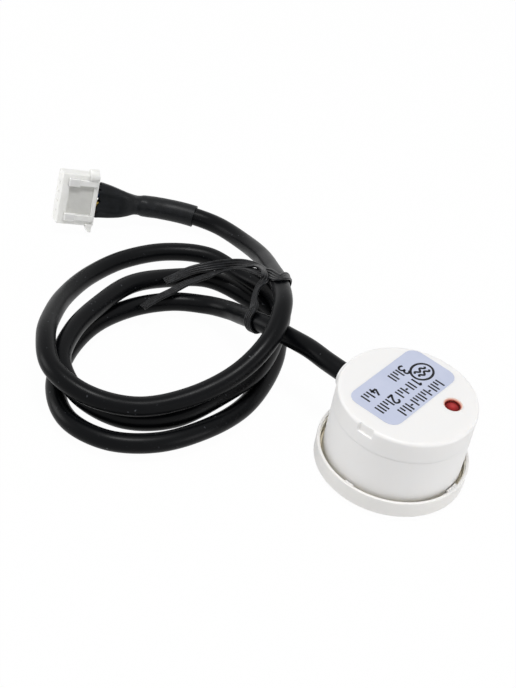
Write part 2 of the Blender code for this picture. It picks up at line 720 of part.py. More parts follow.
def make_sleeve(route, material, parent):
    """The shrunk sleeve: round over the jacket, flat and scalloped over the cores at the plug."""
    curve, jacket_end, sleeve_end = route
    span = sleeve_end - jacket_end
    sizes = smooth(SLEEVE_SECTIONS, 5)
    round_part = [(jacket_end - SLEEVE_OVERLAP * share, *SLEEVE_SECTIONS[0][1:]) for share in (1, 0.67, 0.33)]
    stations = round_part + [(jacket_end + span * share, wide, thin) for share, wide, thin in sizes]
    frames = sections_along(curve, [place for place, _, _ in stations])
    sides = 28
    work = bmesh.new()
    rings = []
    for number, ((centre, way, across, third), (_, wide, thin)) in enumerate(zip(frames, stations)):
        ring = []
        for i in range(sides):
            x, y = sleeve_outline(math.tau * i / sides, wide, thin)
            place = centre + across * x + third * y
            if number == len(stations) - 1:
                place = place - way * SCALLOP_DEPTH / 2 * math.cos(math.tau * x / row_pitch())
            ring.append(work.verts.new(place))
        rings.append(ring)
    for ring, after in zip(rings, rings[1:]):
        for i in range(sides):
            following = (i + 1) % sides
            work.faces.new((ring[i], ring[following], after[following], after[i]))
    mesh = mesh_of("heat_shrink_sleeve", work)
    sleeve = add_mesh("heat_shrink_sleeve", mesh, material, parent)
    skin = sleeve.modifiers.new("wall", "SOLIDIFY")
    skin.thickness = SLEEVE_WALL
    skin.offset = -1
    skin.use_rim = True
    return sleeve


def make_plug_wires(route, finishes, parent):
    """The cores from the jacket's end through the sleeve into the plug's cavities."""
    curve, jacket_end, sleeve_end = route
    frame = plug_matrix()
    neck = SLEEVE_SECTIONS[2][0]
    shares = (0.02, 0.12, 0.26, neck, 0.52, 0.64, 0.76, 0.88, 1.0)
    places = [jacket_end + (sleeve_end - jacket_end) * share for share in shares]
    places[0] = jacket_end + SEAT_GAP
    frames = sections_along(curve, places)
    for number, (across_start, up_start) in enumerate(core_offsets(), 1):
        order = number - (CORES + 1) / 2
        points = []
        for share, (centre, _, across, third) in zip(shares, frames):
            spread = max(0.0, (share - neck) / (1 - neck))
            sideways = across_start + (order * row_pitch() - across_start) * spread
            up = up_start * (1 - spread)
            points.append(centre + across * sideways + third * up)
        for depth in (SEAT_GAP, WIRE_DEPTH / 2, WIRE_DEPTH):
            points.append(np.array(frame @ Vector((depth, -order * PLUG_PITCH, 0))))
        tube(f"plug_wire_{number}", points, CORE_RADIUS, finishes[f"core_{number}"], parent)


def make_connector_housing(material, plug):
    """The crimp housing: body, two rails, an ear at each end, cavities, pin holes and lance windows."""
    body_thickness = PLUG_THICKNESS - RAIL_HEIGHT
    back = -PLUG_THICKNESS / 2
    housing = block("connector_housing", (PLUG_LENGTH, PLUG_WIDTH, body_thickness),
                    (PLUG_LENGTH / 2, 0, back + body_thickness / 2), material, plug, rounding=PLUG_ROUND)
    rail_length = PLUG_LENGTH - RAIL_SHORT
    for side, name in ((1, "lower"), (-1, "upper")):
        rail = block(f"{name} rail", (rail_length, RAIL_WIDTH, RAIL_HEIGHT + PLUG_ROUND),
                     (rail_length / 2 + PLUG_ROUND / 2, side * (PLUG_WIDTH / 2 - PLUG_ROUND / 2 - RAIL_WIDTH / 2),
                      PLUG_THICKNESS / 2 - (RAIL_HEIGHT + PLUG_ROUND) / 2), parent=plug, rounding=PLUG_ROUND / 2)
        join(housing, rail)
    join(housing, round_ear(plug), pointed_ear(plug))
    for way in range(CORES):
        y = (way - (CORES - 1) / 2) * PLUG_PITCH
        cavity_length = PLUG_LENGTH - MATING_WALL
        cavity = block(f"cavity {way + 1}", (2 * cavity_length, CAVITY_WIDTH, CAVITY_HEIGHT), (0, y, 0), parent=plug)
        pin_hole = block(f"pin hole {way + 1}", (2 * MATING_WALL + PLUG_LENGTH / 2, PIN_HOLE, PIN_HOLE),
                         (PLUG_LENGTH, y, 0), parent=plug)
        window = block(f"lance window {way + 1}", (TERMINAL_LENGTH / 2, PIN_HOLE, PLUG_THICKNESS / 2),
                       (PLUG_LENGTH / 2, y, back), parent=plug)
        cut(housing, cavity, pin_hole, window)
    return housing


def round_ear(plug):
    """The rounded ear on the upper end of the wire side."""
    size = EAR_REACH + PLUG_ROUND
    work = bmesh.new()
    bmesh.ops.create_cone(work, cap_ends=True, segments=16, radius1=size, radius2=size,
                          depth=EAR_LENGTH, matrix=Matrix.Rotation(math.pi / 2, 4, "Y"))
    ear = add_mesh("round ear", mesh_of("round ear", work), parent=plug)
    ear.location = (EAR_LENGTH / 2 + PLUG_ROUND / 2, -PLUG_WIDTH / 2 + PLUG_ROUND, PLUG_THICKNESS / 2 - size)
    return ear


def pointed_ear(plug):
    """The three-sided ear on the lower end of the wire side."""
    high = PLUG_THICKNESS / 2 - PLUG_ROUND
    low = high - 2 * EAR_REACH
    inside = PLUG_WIDTH / 2 - 2 * PLUG_ROUND
    outline = [(-high, inside), (-low, inside), (-high, inside + EAR_REACH + 2 * PLUG_ROUND)]
    ear = plate("pointed ear", outline, PLUG_ROUND / 2, EAR_LENGTH, parent=plug)
    ear.rotation_euler = (0, math.pi / 2, 0)
    return ear


def make_terminals(material, plug):
    """The crimp contacts: a square socket, a neck and the barrel that grips the core."""
    start = WIRE_DEPTH + SEAT_GAP
    side = CAVITY_WIDTH - 2 * JACKET_GAP
    socket_length = TERMINAL_LENGTH * 0.6
    for way in range(CORES):
        y = (way - (CORES - 1) / 2) * PLUG_PITCH
        middle = start + TERMINAL_LENGTH - socket_length / 2
        terminal = block(f"crimp_terminal_{way + 1}", (socket_length, side, side), (middle, y, 0), material, plug)
        reach = TERMINAL_LENGTH - socket_length / 2
        barrel = block(f"crimp barrel {way + 1}", (reach, side * 0.8, side * 0.5),
                       (start + reach / 2, y, -side * 0.2), parent=plug, rounding=side * 0.15)
        socket = block(f"socket {way + 1}", (socket_length, side * 0.55, side * 0.55),
                       (start + TERMINAL_LENGTH, y, 0), parent=plug)
        join(terminal, barrel)
        cut(terminal, socket)


def strand_place(curve, place, degrees):
    """A point of the tie that lies on a strand, and the way it faces."""
    step = place * ROUTE_STEPS + ROUTE_STEPS
    low = int(step)
    centre = curve[low] + (curve[low + 1] - curve[low]) * (step - low)
    way = unit(curve[low + 2] - curve[low - 1])
    side = unit(np.array([-way[1], way[0], 0.0]))
    up = np.cross(side, way)
    up = up if up[2] > 0 else -up
    turn = math.radians(degrees)
    facing = side * math.cos(turn) + up * math.sin(turn)
    return centre + facing * (CABLE_RADIUS + TIE_GAP + TIE_THICKNESS / 2), facing


def tie_centre_line(route):
    """The tie's middle line with the way its face looks, from one tip round the strands to the other."""
    upward = (0.0, 0.0, 1.0)
    line = [(*point, *upward) for point in TIE_TAIL_ABOVE]
    for place, degrees in TIE_WRAP:
        point, facing = strand_place(route[0], place, degrees)
        line.append((*point, *facing))
    line += [(*point, *upward) for point in TIE_TAIL_BELOW]
    return smooth(line, 4)


def make_twist_tie(route, material, parent):
    """The flat tie: a ribbon once round the strands, with two free ends."""
    line = tie_centre_line(route)
    ways = np.gradient(line[:, :3], axis=0)
    work = bmesh.new()
    edges = []
    for row, way in zip(line, ways):
        across = unit(np.cross(way, row[3:])) * TIE_WIDTH / 2
        edges.append([work.verts.new(row[:3] + across), work.verts.new(row[:3] - across)])
    for here, there in zip(edges, edges[1:]):
        work.faces.new((here[0], here[1], there[1], there[0]))
    tie = add_mesh("twist_tie", mesh_of("twist_tie", work), material, parent)
    body = tie.modifiers.new("thickness", "SOLIDIFY")
    body.thickness = TIE_THICKNESS
    body.offset = 0
    body.use_rim = True
    return tie


def make_finishes():
    """The plain materials, by name."""
    return {
        "case": finish("white_case", "F0EFED", 0.35),
        "ring": finish("white_ring", "DEDCD9", 0.4),
        "label": finish("label_film", "C3C9DF", 0.45),
        "led": finish("red_lens", "8C1C1C", 0.15),
        "board": finish("board_laminate", "1E5A32", 0.5),
        "copper": finish("tinned_copper", "C9A074", 0.35, 1.0),
        "spring": finish("spring_steel", "B8BABC", 0.3, 1.0),
        "chip": finish("chip_plastic", "1B1B1D", 0.5),
        "capacitor": finish("ceramic", "B99A6B", 0.45),
        "resistor": finish("resistor_film", "232323", 0.4),
        "jacket": finish("cable_jacket", "141518", 0.42),
        "core_1": finish("core_brown", "5A3A22", 0.45),
        "core_2": finish("core_yellow", "D8B43A", 0.45),
        "core_3": finish("core_blue", "2C4F8F", 0.45),
        "core_4": finish("core_black", "1A1A1A", 0.45),
        "sleeve": finish("shrink_tube", "1E2022", 0.65),
        "housing": finish("natural_nylon", "E6E6E1", 0.45),
        "terminal": finish("tinned_brass", "C8B48A", 0.3, 1.0),
        "tie": finish("tie_plastic", "17181A", 0.45),
    }


def main():
    """Builds the whole sensor."""
    finishes = make_finishes()
    head = add_empty("sensor_head", (0, 0, 0))
    pivot = add_empty("ring_pivot", (0, 0, 0), parent=head)
    place, turns = plug_frame()
    plug = add_empty("plug", place, turns, head)
    bpy.context.view_layer.update()
    make_case_shell(finishes["case"], head)
    make_top_cover(finishes["case"], head)
    make_label(finishes["label"], head)
    make_mounting_ring(finishes["ring"], pivot)
    make_board(finishes["board"], head)
    make_electrode(finishes["copper"], head)
    make_contact_spring(finishes["spring"], head)
    make_led(finishes["led"], head)
    make_chip("sensing_chip", (0.0050, 0.0039, 0.0016), (0.0002, -0.0045), 4, 0.00127, finishes["chip"], head)
    make_chip("voltage_regulator", (0.0045, 0.0025, 0.0015), (-0.0028, 0.0056), 3, 0.0015, finishes["chip"], head)
    make_chip("output_transistor", (0.0029, 0.0013, 0.0011), (-0.0042, -0.0056), 2, 0.0019, finishes["chip"], head)
    make_block_parts(finishes, head)
    make_board_cores(finishes, head)
    route = whole_route()
    make_cable(route, finishes["jacket"], head)
    make_sleeve(route, finishes["sleeve"], head)
    make_plug_wires(route, finishes, head)
    make_connector_housing(finishes["housing"], plug)
    make_terminals(finishes["terminal"], plug)
    make_twist_tie(route, finishes["tie"], head)


main()
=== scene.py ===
"""Studio scene of a contactless liquid level sensor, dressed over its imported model.

Metres, +Z up. The origin is the centre of the sensing face, just above the floor. The cable leaves the round
head along -X, is coiled beside it under a twist tie, and ends in a small four-way plug.
"""

import json
import logging
import math
from collections.abc import Callable, Iterable, Sequence
from dataclasses import dataclass, field
from enum import Enum

import bmesh
import bpy
import numpy as np
from mathutils import Matrix, Vector, noise

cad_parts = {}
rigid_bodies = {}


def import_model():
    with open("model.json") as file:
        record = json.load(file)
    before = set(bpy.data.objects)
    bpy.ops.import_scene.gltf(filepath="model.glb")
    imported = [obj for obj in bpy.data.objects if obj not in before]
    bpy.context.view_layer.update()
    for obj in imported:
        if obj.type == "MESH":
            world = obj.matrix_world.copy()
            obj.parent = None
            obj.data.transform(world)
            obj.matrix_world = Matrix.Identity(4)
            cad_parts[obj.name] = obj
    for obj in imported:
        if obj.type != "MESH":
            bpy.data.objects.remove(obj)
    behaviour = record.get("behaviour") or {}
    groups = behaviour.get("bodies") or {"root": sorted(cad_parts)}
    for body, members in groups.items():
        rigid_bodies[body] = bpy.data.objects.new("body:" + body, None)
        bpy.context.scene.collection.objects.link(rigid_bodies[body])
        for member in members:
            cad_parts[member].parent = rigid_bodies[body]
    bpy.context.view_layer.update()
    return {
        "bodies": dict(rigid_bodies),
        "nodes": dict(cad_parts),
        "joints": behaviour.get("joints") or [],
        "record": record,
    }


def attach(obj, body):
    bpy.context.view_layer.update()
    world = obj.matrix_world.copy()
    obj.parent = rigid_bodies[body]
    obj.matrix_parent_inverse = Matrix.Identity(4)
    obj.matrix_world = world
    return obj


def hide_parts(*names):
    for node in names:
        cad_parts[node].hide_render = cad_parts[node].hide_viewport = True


LOG = logging.getLogger("liquid_level_sensor")

Point = Sequence[float]
Place = Callable[[float, float, float], Vector]
Settings = dict[str | int, object]
Output = tuple[bpy.types.Node, str]
Links = dict[str | int, Output]
# A colour ramp's positions, each with a hex colour or the name of the finish's field that holds one
Stops = tuple[tuple[float, str], ...]

# Places on the routes below are in tenths of a millimetre
TENTHS_IN_METRE = 10000
# The cable's way from the nozzle round the coil to the end of its jacket. Nine knots under the tie's knot lie
# up to 1.7 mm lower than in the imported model.
CABLE_ROUTE: tuple[Point, ...] = (
    (-130, 0, 120), (-175, 1, 120), (-221, 7, 117), (-267, 8, 112), (-313, 8, 107), (-356, 15, 92),
    (-395, 31, 69), (-438, 46, 46), (-491, 41, 28), (-546, 1, 21), (-584, -72, 19), (-594, -164, 20),
    (-570, -258, 19), (-518, -339, 19), (-443, -382, 19), (-360, -367, 20), (-297, -305, 21),
    (-263, -217, 22), (-256, -123, 19), (-277, -31, 19), (-316, 52, 20), (-372, 115, 20), (-455, 130, 21),
    (-536, 105, 31), (-587, 37, 36), (-608, -51, 52), (-598, -146, 60), (-574, -242, 64),
    (-528, -319, 62), (-452, -346, 48), (-373, -315, 30), (-316, -243, 28), (-289, -151, 45),
    (-284, -56, 55), (-315, 33, 58), (-361, 113, 54), (-422, 158, 40), (-504, 173, 22), (-591, 167, 24),
    (-658, 109, 23), (-695, 25, 22), (-698, -68, 27), (-673, -158, 43), (-629, -240, 69),
    (-574, -315, 91), (-505, -367, 92), (-423, -361, 80), (-352, -307, 69), (-303, -226, 77),
    (-272, -139, 103), (-270, -55, 137), (-305, 22, 153), (-363, 90, 134), (-428, 153, 97),
    (-498, 212, 61), (-574, 251, 33), (-648, 262, 23), (-706, 243, 24), (-756, 212, 26),
)
# Where the sleeved cores go from there to the plug
BUNDLE_ROUTE: tuple[Point, ...] = (
    (-794, 168, 34), (-808, 130, 46),
)
# The tie's upper end, from its tip to the knot and on to the lower strand: place, and its roll in degrees
TIE_UPPER_END: tuple[Point, ...] = (
    (-573, 9, 50, 0), (-564, 36, 56, 0), (-555, 65, 62, 10), (-536, 95, 68, 25), (-512, 116, 78, 40),
    (-484, 127, 92, 30), (-453, 129, 106, 0), (-429, 117, 121, -10), (-408, 100, 133, -20),
    (-392, 83, 139, -10), (-390, 76, 136, 0), (-392, 69, 128, 30), (-390, 57, 123, 55),
    (-382, 41, 120, 65), (-370, 24, 119, 60), (-359, 9, 120, 40),
)
# Where it then goes round the strands: place along the cable's route, and degrees round the strand
TIE_WRAP: tuple[Point, ...] = (
    (4.85, 30.0), (4.80, -15.0), (4.80, -60.0), (4.80, -105.0), (21.00, -70.0), (21.00, -105.0),
    (21.00, -145.0), (21.05, 190.0), (35.45, 212.0), (35.45, 180.0), (52.20, 236.0), (52.20, 212.0),
    (52.20, 180.0), (52.15, 150.0), (52.00, 120.0), (51.85, 95.0), (51.80, 72.0),
    (52.00, 50.0), (52.35, 30.0),
)
# The tie's lower end, from the knot to its tip
TIE_LOWER_END: tuple[Point, ...] = (
    (-442, 114, 107, 0), (-466, 120, 94, 10), (-488, 120, 81, 25), (-502, 110, 74, 30),
    (-516, 90, 66, 25), (-524, 70, 62, 20), (-531, 49, 60, 20), (-537, 26, 58, 15), (-543, -4, 52, 15),
    (-549, -32, 48, 15), (-553, -55, 44, 15), (-555, -73, 40, 15),
)
# Points on a line from one knot to the next
ROUTE_STEPS = 12
CABLE_DIAMETER = 0.00365
LAMP_MIDDLE = (0.00684, 0.00396)
# Pale plastics let light in about this deep
LIGHT_DEPTH = 0.0010
# A profile's point nearer to the axis than this is one vertex on it
ON_AXIS = 1e-7
# How far a bar's end face is drawn in, as a share of its rounding, so that a thin bar's end keeps some width
END_SHARE = 0.98
# What each mark of the label's print is: its two ends, across in metres and up as a share of a bar's height
MARKS: dict[str, tuple[Point, Point]] = {
    "T": ((0.0, 0.0), (0.0, 1.0)), "s": ((0.0, 0.0), (0.0, 0.6)), "-": ((-0.00015, 0.5), (0.00045, 0.5))}


def metres(places: Iterable[Point]) -> list[tuple[float, ...]]:
    """Turn a route's places into metres and keep any fourth column."""
    return [(*(v / TENTHS_IN_METRE for v in place[:3]), *place[3:]) for place in places]


def linear(code: str) -> tuple[float, float, float, float]:
    """Turn an sRGB hex colour into linear light.

    Args:
        code: Six hex digits such as F3F1EE.

    Returns:
        Red, green and blue in linear light, and an alpha of one.
    """
    channels = [int(code[i:i + 2], 16) / 255 for i in (0, 2, 4)]
    red, green, blue = (c / 12.92 if c <= 0.04045 else ((c + 0.055) / 1.055) ** 2.4 for c in channels)
    return red, green, blue, 1.0


def add_node(tree: bpy.types.NodeTree, kind: str, settings: Settings | None = None,
             links: Links | None = None) -> bpy.types.Node:
    """Add a shader node with its settings and links.

    Args:
        tree: The node tree that gets the node.
        kind: Blender's name of the node's type.
        settings: Values by input or property name; "stops" holds a colour ramp's positions and hex colours.
        links: The node and its output that feed each named input.

    Returns:
        The new node.
    """
    node = tree.nodes.new(kind)
    for key, value in (settings or {}).items():
        if key == "stops":
            ramp = node.color_ramp.elements
            while len(ramp) < len(value):
                ramp.new(1.0)
            for stop, (position, code) in zip(ramp, value):
                stop.position = position
                stop.color = linear(code)
        elif isinstance(key, int) or key in node.inputs:
            node.inputs[key].default_value = value
        else:
            setattr(node, key, value)
    for key, (source, output) in (links or {}).items():
        tree.links.new(source.outputs[output], node.inputs[key])
    return node


@dataclass(frozen=True)
class Pattern:
    """Soft random patches on a finish, and what they change.

    Attributes:
        size: How wide a patch is, in metres.
        detail: How much finer structure the patches have.
        stretch: How much denser they are along each axis.
        tint: The colours that they run the base colour through.
        gloss: How far they lower and raise the roughness.
        relief: Their height in metres, and the share of it that shows.
    """

    size: float
    detail: float = 2.0
    stretch: Point = (1.0, 1.0, 1.0)
    tint: Stops = ()
    gloss: tuple[float, ...] = ()
    relief: tuple[float, ...] = ()


@dataclass(frozen=True)
class Finish:
    """A real material: its plain shader values, and the patterns that its kind adds.

    Attributes:
        by_height: Two heights, and the colours that it runs through from the one to the other; the finishes
            here use it to paint shade low down and the lamp's red light.
        scatter: The share of light that goes into it, and how far for red, green and blue.
    """

    name: str
    colour: str
    roughness: float
    ior: float = 1.50
    metallic: float = 0.0
    specular: float = 0.5
    patterns: tuple[Pattern, ...] = ()
    by_height: tuple[float, float, Stops] | None = None
    scatter: tuple[float, Point] | None = None

    def build(self) -> bpy.types.Material:
        """Make the material.

        Returns:
            The new material with its nodes.
        """
        material = bpy.data.materials.new(self.name)
        material.use_nodes = True
        material.diffuse_color = linear(self.colour)
        tree = material.node_tree
        tree.nodes.clear()
        values = {"Base Color": linear(self.colour), "Roughness": self.roughness, "IOR": self.ior,
                  "Metallic": self.metallic, "Specular IOR Level": self.specular}
        if self.scatter:
            values |= {"Subsurface Weight": self.scatter[0], "Subsurface Radius": self.scatter[1],
                       "Subsurface Scale": LIGHT_DEPTH}
        shader = add_node(tree, "ShaderNodeBsdfPrincipled", values)
        add_node(tree, "ShaderNodeOutputMaterial", links={"Surface": (shader, "BSDF")})
        self.dress(tree, shader, add_node(tree, "ShaderNodeTexCoord"))
        return material

    def dress(self, tree: bpy.types.NodeTree, shader: bpy.types.Node, where: bpy.types.Node) -> None:
        """Add the tint by height and the patterns.

        Args:
            tree: The material's tree.
            shader: The shader to dress.
            where: The node that gives places on the object.
        """
        if self.by_height:
            low, high, stops = self.by_height
            axes = add_node(tree, "ShaderNodeSeparateXYZ", links={"Vector": (where, "Object")})
            height = add_node(tree, "ShaderNodeMapRange", {"From Min": low, "From Max": high},
                              {"Value": (axes, "Z")})
            self.tint(tree, shader, (height, "Result"), stops)
        for pattern in self.patterns:
            scaled = add_node(tree, "ShaderNodeMapping", {"Scale": pattern.stretch},
                              {"Vector": (where, "Object")})
            patches = add_node(tree, "ShaderNodeTexNoise", {
                "Scale": 1 / pattern.size, "Detail": pattern.detail}, {"Vector": (scaled, "Vector")})
            if pattern.tint:
                self.tint(tree, shader, (patches, "Fac"), pattern.tint)
            if pattern.gloss:
                lower, higher = pattern.gloss
                spread = add_node(tree, "ShaderNodeMapRange", {
                    "From Min": 0.3, "From Max": 0.7, "To Min": self.roughness - lower,
                    "To Max": self.roughness + higher}, {"Value": (patches, "Fac")})
                tree.links.new(spread.outputs["Result"], shader.inputs["Roughness"])
            if pattern.relief:
                self.relief(tree, shader, (patches, "Fac"), *pattern.relief)

    def tint(self, tree: bpy.types.NodeTree, shader: bpy.types.Node, source: Output, stops: Stops) -> None:
        """Let a pattern run the base colour through these colours.

        Args:
            tree: The material's tree.
            shader: The node that gets the colour.
            source: The pattern's node and output.
            stops: Positions from 0 to 1 with their colours.
        """
        colours = [(position, getattr(self, code, code)) for position, code in stops]
        ramp = add_node(tree, "ShaderNodeValToRGB", {"stops": colours}, {"Fac": source})
        tree.links.new(ramp.outputs["Color"], shader.inputs["Base Color"])

    def relief(self, tree: bpy.types.NodeTree, shader: bpy.types.Node, source: Output, depth: float,
               strength: float = 0.5) -> None:
        """Let a pattern raise and lower the surface, by a depth in metres of which a share shows."""
        bump = add_node(tree, "ShaderNodeBump", {"Distance": depth, "Strength": strength}, {"Height": source})
        tree.links.new(bump.outputs["Normal"], shader.inputs["Normal"])


@dataclass(frozen=True)
class MouldedAbs(Finish):
    """White ABS, injection moulded: an even satin skin, painted cream low down as shade, where the wall
    stands in the gap under the ring.
    """

    low_shade_colour: str = "EDE8DA"
    # Painted shade: cream low down, fading into the plain colour by 3 mm up.
    by_height: tuple[float, float, Stops] = (0.0006, 0.0030, ((0.0, "low_shade_colour"), (1.0, "colour")))
    scatter: tuple[float, Point] = (0.3, (1.0, 0.94, 0.86))
    # Flow marks about 6 mm wide show as a slight change of gloss. Real spark grain is 0.05 mm, too fine to
    # show, so it is drawn at 0.2 mm and very low.
    patterns: tuple[Pattern, ...] = (
        Pattern(0.006, gloss=(0.03, 0.04)), Pattern(0.0002, 1.0, relief=(0.000004, 0.35)))


@dataclass(frozen=True)
class LampLightAbs(Finish):
    """The white ABS round the lamp, with the lamp's red light painted on: brown-red deep down, cream at the
    edge.
    """

    # Painted light: the lamp's red on the hole's wall, brown-red deep down and cream at the edge.
    by_height: tuple[float, float, Stops] = (
        0.0159, 0.0164, ((0.0, "9A3A30"), (0.45, "C0604E"), (0.80, "E6C4B4"), (1.0, "colour")))


@dataclass(frozen=True)
class PrintedFilm(Finish):
    """Polyester label film, printed pale blue: an even matt face with waves of 3 mm from the glue below."""

    patterns: tuple[Pattern, ...] = (
        Pattern(0.003, tint=((0.3, "BEC5DB"), (0.7, "colour")), relief=(0.00002, 0.3)),)


@dataclass(frozen=True)
class PrintInk(Finish):
    """Screen-printed black ink, matt: its real mottle of 0.1 mm is drawn at 0.3 mm so that it shows."""

    patterns: tuple[Pattern, ...] = (Pattern(0.0003, tint=((0.35, "colour"), (0.80, "1A1C24"))),)


@dataclass(frozen=True)
class CastEpoxy(Finish):
    """Red diffused epoxy of a cast lamp: glossy, with painted shade deep red at the rim and a painted
    highlight lighter in the middle.
    """

    middle: tuple[float, float] = LAMP_MIDDLE
    radius: float = 0.0013

    def dress(self, tree: bpy.types.NodeTree, shader: bpy.types.Node, where: bpy.types.Node) -> None:
        """Let the colour follow the distance from the lamp's axis.

        Args:
            tree: The material's tree.
            shader: The shader to dress.
            where: The node that gives places on the object.
        """
        flat = add_node(tree, "ShaderNodeMapping", {
            "Location": (-self.middle[0] / self.radius, -self.middle[1] / self.radius, 0.0),
            "Scale": (1 / self.radius, 1 / self.radius, 0.0)}, {"Vector": (where, "Object")})
        away = add_node(tree, "ShaderNodeVectorMath", {"operation": "LENGTH"}, {0: (flat, "Vector")})
        # Painted light: lighter in the middle as a highlight, deep red towards the rim as shade.
        self.tint(tree, shader, (away, "Value"), ((0.0, "BC4444"), (0.45, "A02A2A"), (1.0, "5E0C0C")))


@dataclass(frozen=True)
class SatinVinyl(Finish):
    """Soft black PVC, extruded: satin, with slow changes of gloss and a little pale dust."""

    # Dust specks about 0.15 mm wide, a few to each centimetre, and orange peel of 0.6 mm
    patterns: tuple[Pattern, ...] = (
        Pattern(0.0005, 0.0, tint=((0.0, "colour"), (0.80, "colour"), (0.86, "3A3C40"), (1.0, "5A5C60"))),
        Pattern(0.004, gloss=(0.04, 0.05)), Pattern(0.0006, relief=(0.000012, 0.4)))


@dataclass(frozen=True)
class ShrunkPolyolefin(Finish):
    """Black heat-shrink polyolefin: matt, with scuffs and creases about 0.5 mm apart."""

    patterns: tuple[Pattern, ...] = (
        Pattern(0.0012, 4.0, tint=((0.40, "colour"), (0.65, "141619"), (0.90, "1E2124"))),
        Pattern(0.0005, 3.0, relief=(0.00003, 0.35)))


@dataclass(frozen=True)
class RibbedPolyethylene(Finish):
    """Black polyethylene of a twist tie: waxy satin, greyer in marks of 1 mm where it has been bent."""

    patterns: tuple[Pattern, ...] = (
        Pattern(0.001, 3.0, tint=((0.4, "colour"), (0.8, "222427")), gloss=(0.05, 0.08)),
        Pattern(0.0003, relief=(0.00001, 0.4)))


@dataclass(frozen=True)
class NaturalNylon(Finish):
    """Natural nylon 66, moulded: milky white, with clouds about 2 mm wide and a fine skin."""

    cloud: str = "EEEEEA"
    scatter: tuple[float, Point] = (0.5, (1.0, 1.0, 0.95))
    patterns: tuple[Pattern, ...] = (
        Pattern(0.002, tint=((0.3, "cloud"), (0.65, "colour"))), Pattern(0.0003, 1.0, relief=(0.000006, 0.4)))


@dataclass(frozen=True)
class CoreVinyl(Finish):
    """Coloured PVC of a thin core: smooth and satin, with a slightly darker skin in places 1 mm long."""

    shade: str = "101010"
    patterns: tuple[Pattern, ...] = (Pattern(0.001, tint=((0.25, "shade"), (0.5, "colour"))),)


@dataclass(frozen=True)
class SolderMask(Finish):
    """Green solder mask over copper tracks: glossy lacquer, lighter where a track lies below."""

    def dress(self, tree: bpy.types.NodeTree, shader: bpy.types.Node, where: bpy.types.Node) -> None:
        """Add tracks about 0.4 mm wide as bands and their slight height.

        Args:
            tree: The material's tree.
            shader: The shader to dress.
            where: The node that gives places on the object.
        """
        tracks = add_node(tree, "ShaderNodeTexBrick", {
            "Scale": 1 / 0.004, "Mortar Size": 0.05, "Mortar Smooth": 0.1, "Color1": linear(self.colour),
            "Color2": linear("1A5230"), "Mortar": linear("3C8A55")}, {"Vector": (where, "Object")})
        tree.links.new(tracks.outputs["Color"], shader.inputs["Base Color"])
        self.relief(tree, shader, (tracks, "Fac"), 0.00003)


@dataclass(frozen=True)
class DrawnMetal(Finish):
    """Drawn or rolled metal: its fine lines of 0.02 mm are drawn at 0.15 mm so that they show."""

    metallic: float = 1.0
    dull: str = "A98258"
    patterns: tuple[Pattern, ...] = (
        Pattern(0.00015, 3.0, (1.0, 0.1, 1.0), ((0.3, "dull"), (0.6, "colour")), (0.08, 0.1)),)


@dataclass(frozen=True)
class SpeckledSolid(Finish):
    """Moulding compound, ceramic or fired film, matt: filler grains of 0.03 mm are drawn at 0.12 mm."""

    speck: str = "2A2A2C"
    patterns: tuple[Pattern, ...] = (
        Pattern(0.00012, tint=((0.45, "colour"), (0.75, "speck")), relief=(0.00001, 0.4)),)


class Look(Enum):
    """The finishes of this sensor."""

    CASE = MouldedAbs("abs_moulded_white", "F2F1F0", 0.42, 1.53)
    RING = MouldedAbs("abs_moulded_ring", "EFEDEA", 0.40, 1.53, low_shade_colour="EFEDEA")
    # Painted shade: the flange, low in the gap between ring and case, is a creamier copy of the ring's white.
    FLANGE = MouldedAbs("abs_moulded_flange", "F4F0E2", 0.42, 1.53, low_shade_colour="F4F0E2")
    # A thin cream film under the flange, which fills its windows.
    ADHESIVE = SpeckledSolid("cream_under_film", "EEE6D2", 0.6, 1.48, speck="E4DAC2")
    LAMP_RIM = LampLightAbs("abs_painted_lamp_light", "EFE4DA", 0.36, 1.53)
    FILM = PrintedFilm("polyester_label_film", "C4CADF", 0.42, 1.57)
    INK = PrintInk("screen_print_ink", "08090D", 0.5, 1.5, specular=0.25)
    LENS = CastEpoxy("epoxy_cast_red", "8C1C1C", 0.22, 1.55, specular=0.1)
    JACKET = SatinVinyl("pvc_extruded_black", "050608", 0.33, 1.53, specular=0.09)
    SHRINK = ShrunkPolyolefin("polyolefin_shrunk_black", "0D0F11", 0.42, 1.50, specular=0.18)
    TIE = RibbedPolyethylene("polyethylene_ribbed_black", "08080A", 0.30, 1.51, specular=0.18)
    NYLON = NaturalNylon("nylon_moulded_natural", "F4F4F1", 0.44, 1.53)
    # Painted shade: a greyer copy of the nylon, laid in the plug's sunk front.
    THIN_NYLON = NaturalNylon("nylon_painted_shade", "EFEFE8", 0.44, 1.53, cloud="E9E9E2")
    BROWN = CoreVinyl("pvc_core_brown", "5A3A22", 0.42, 1.53, shade="4A2E1A")
    YELLOW = CoreVinyl("pvc_core_yellow", "D8B43A", 0.42, 1.53, shade="C29E2E")
    BLUE = CoreVinyl("pvc_core_blue", "2C4F8F", 0.42, 1.53, shade="24417A")
    BLACK = CoreVinyl("pvc_core_black", "1A1A1A", 0.42, 1.53)
    BOARD = SolderMask("solder_mask_green", "1E5A32", 0.35, 1.52)
    COPPER = DrawnMetal("copper_foil_tinned", "C9A074", 0.32)
    SPRING = DrawnMetal("steel_wire_drawn", "B8BABC", 0.28, dull="97999B")
    BRASS = DrawnMetal("brass_strip_tinned", "C8B48A", 0.3, dull="A8946C")
    CHIP = SpeckledSolid("epoxy_moulding_compound", "1B1B1D", 0.5, 1.55)
    CERAMIC = SpeckledSolid("ceramic_fired_tan", "B99A6B", 0.4, 1.7, speck="9C8054")
    RESISTOR = SpeckledSolid("thick_film_fired_black", "232323", 0.35, 1.6)

    def material(self) -> bpy.types.Material:
        """Give the finish as a material, made once."""
        return bpy.data.materials.get(self.value.name) or self.value.build()


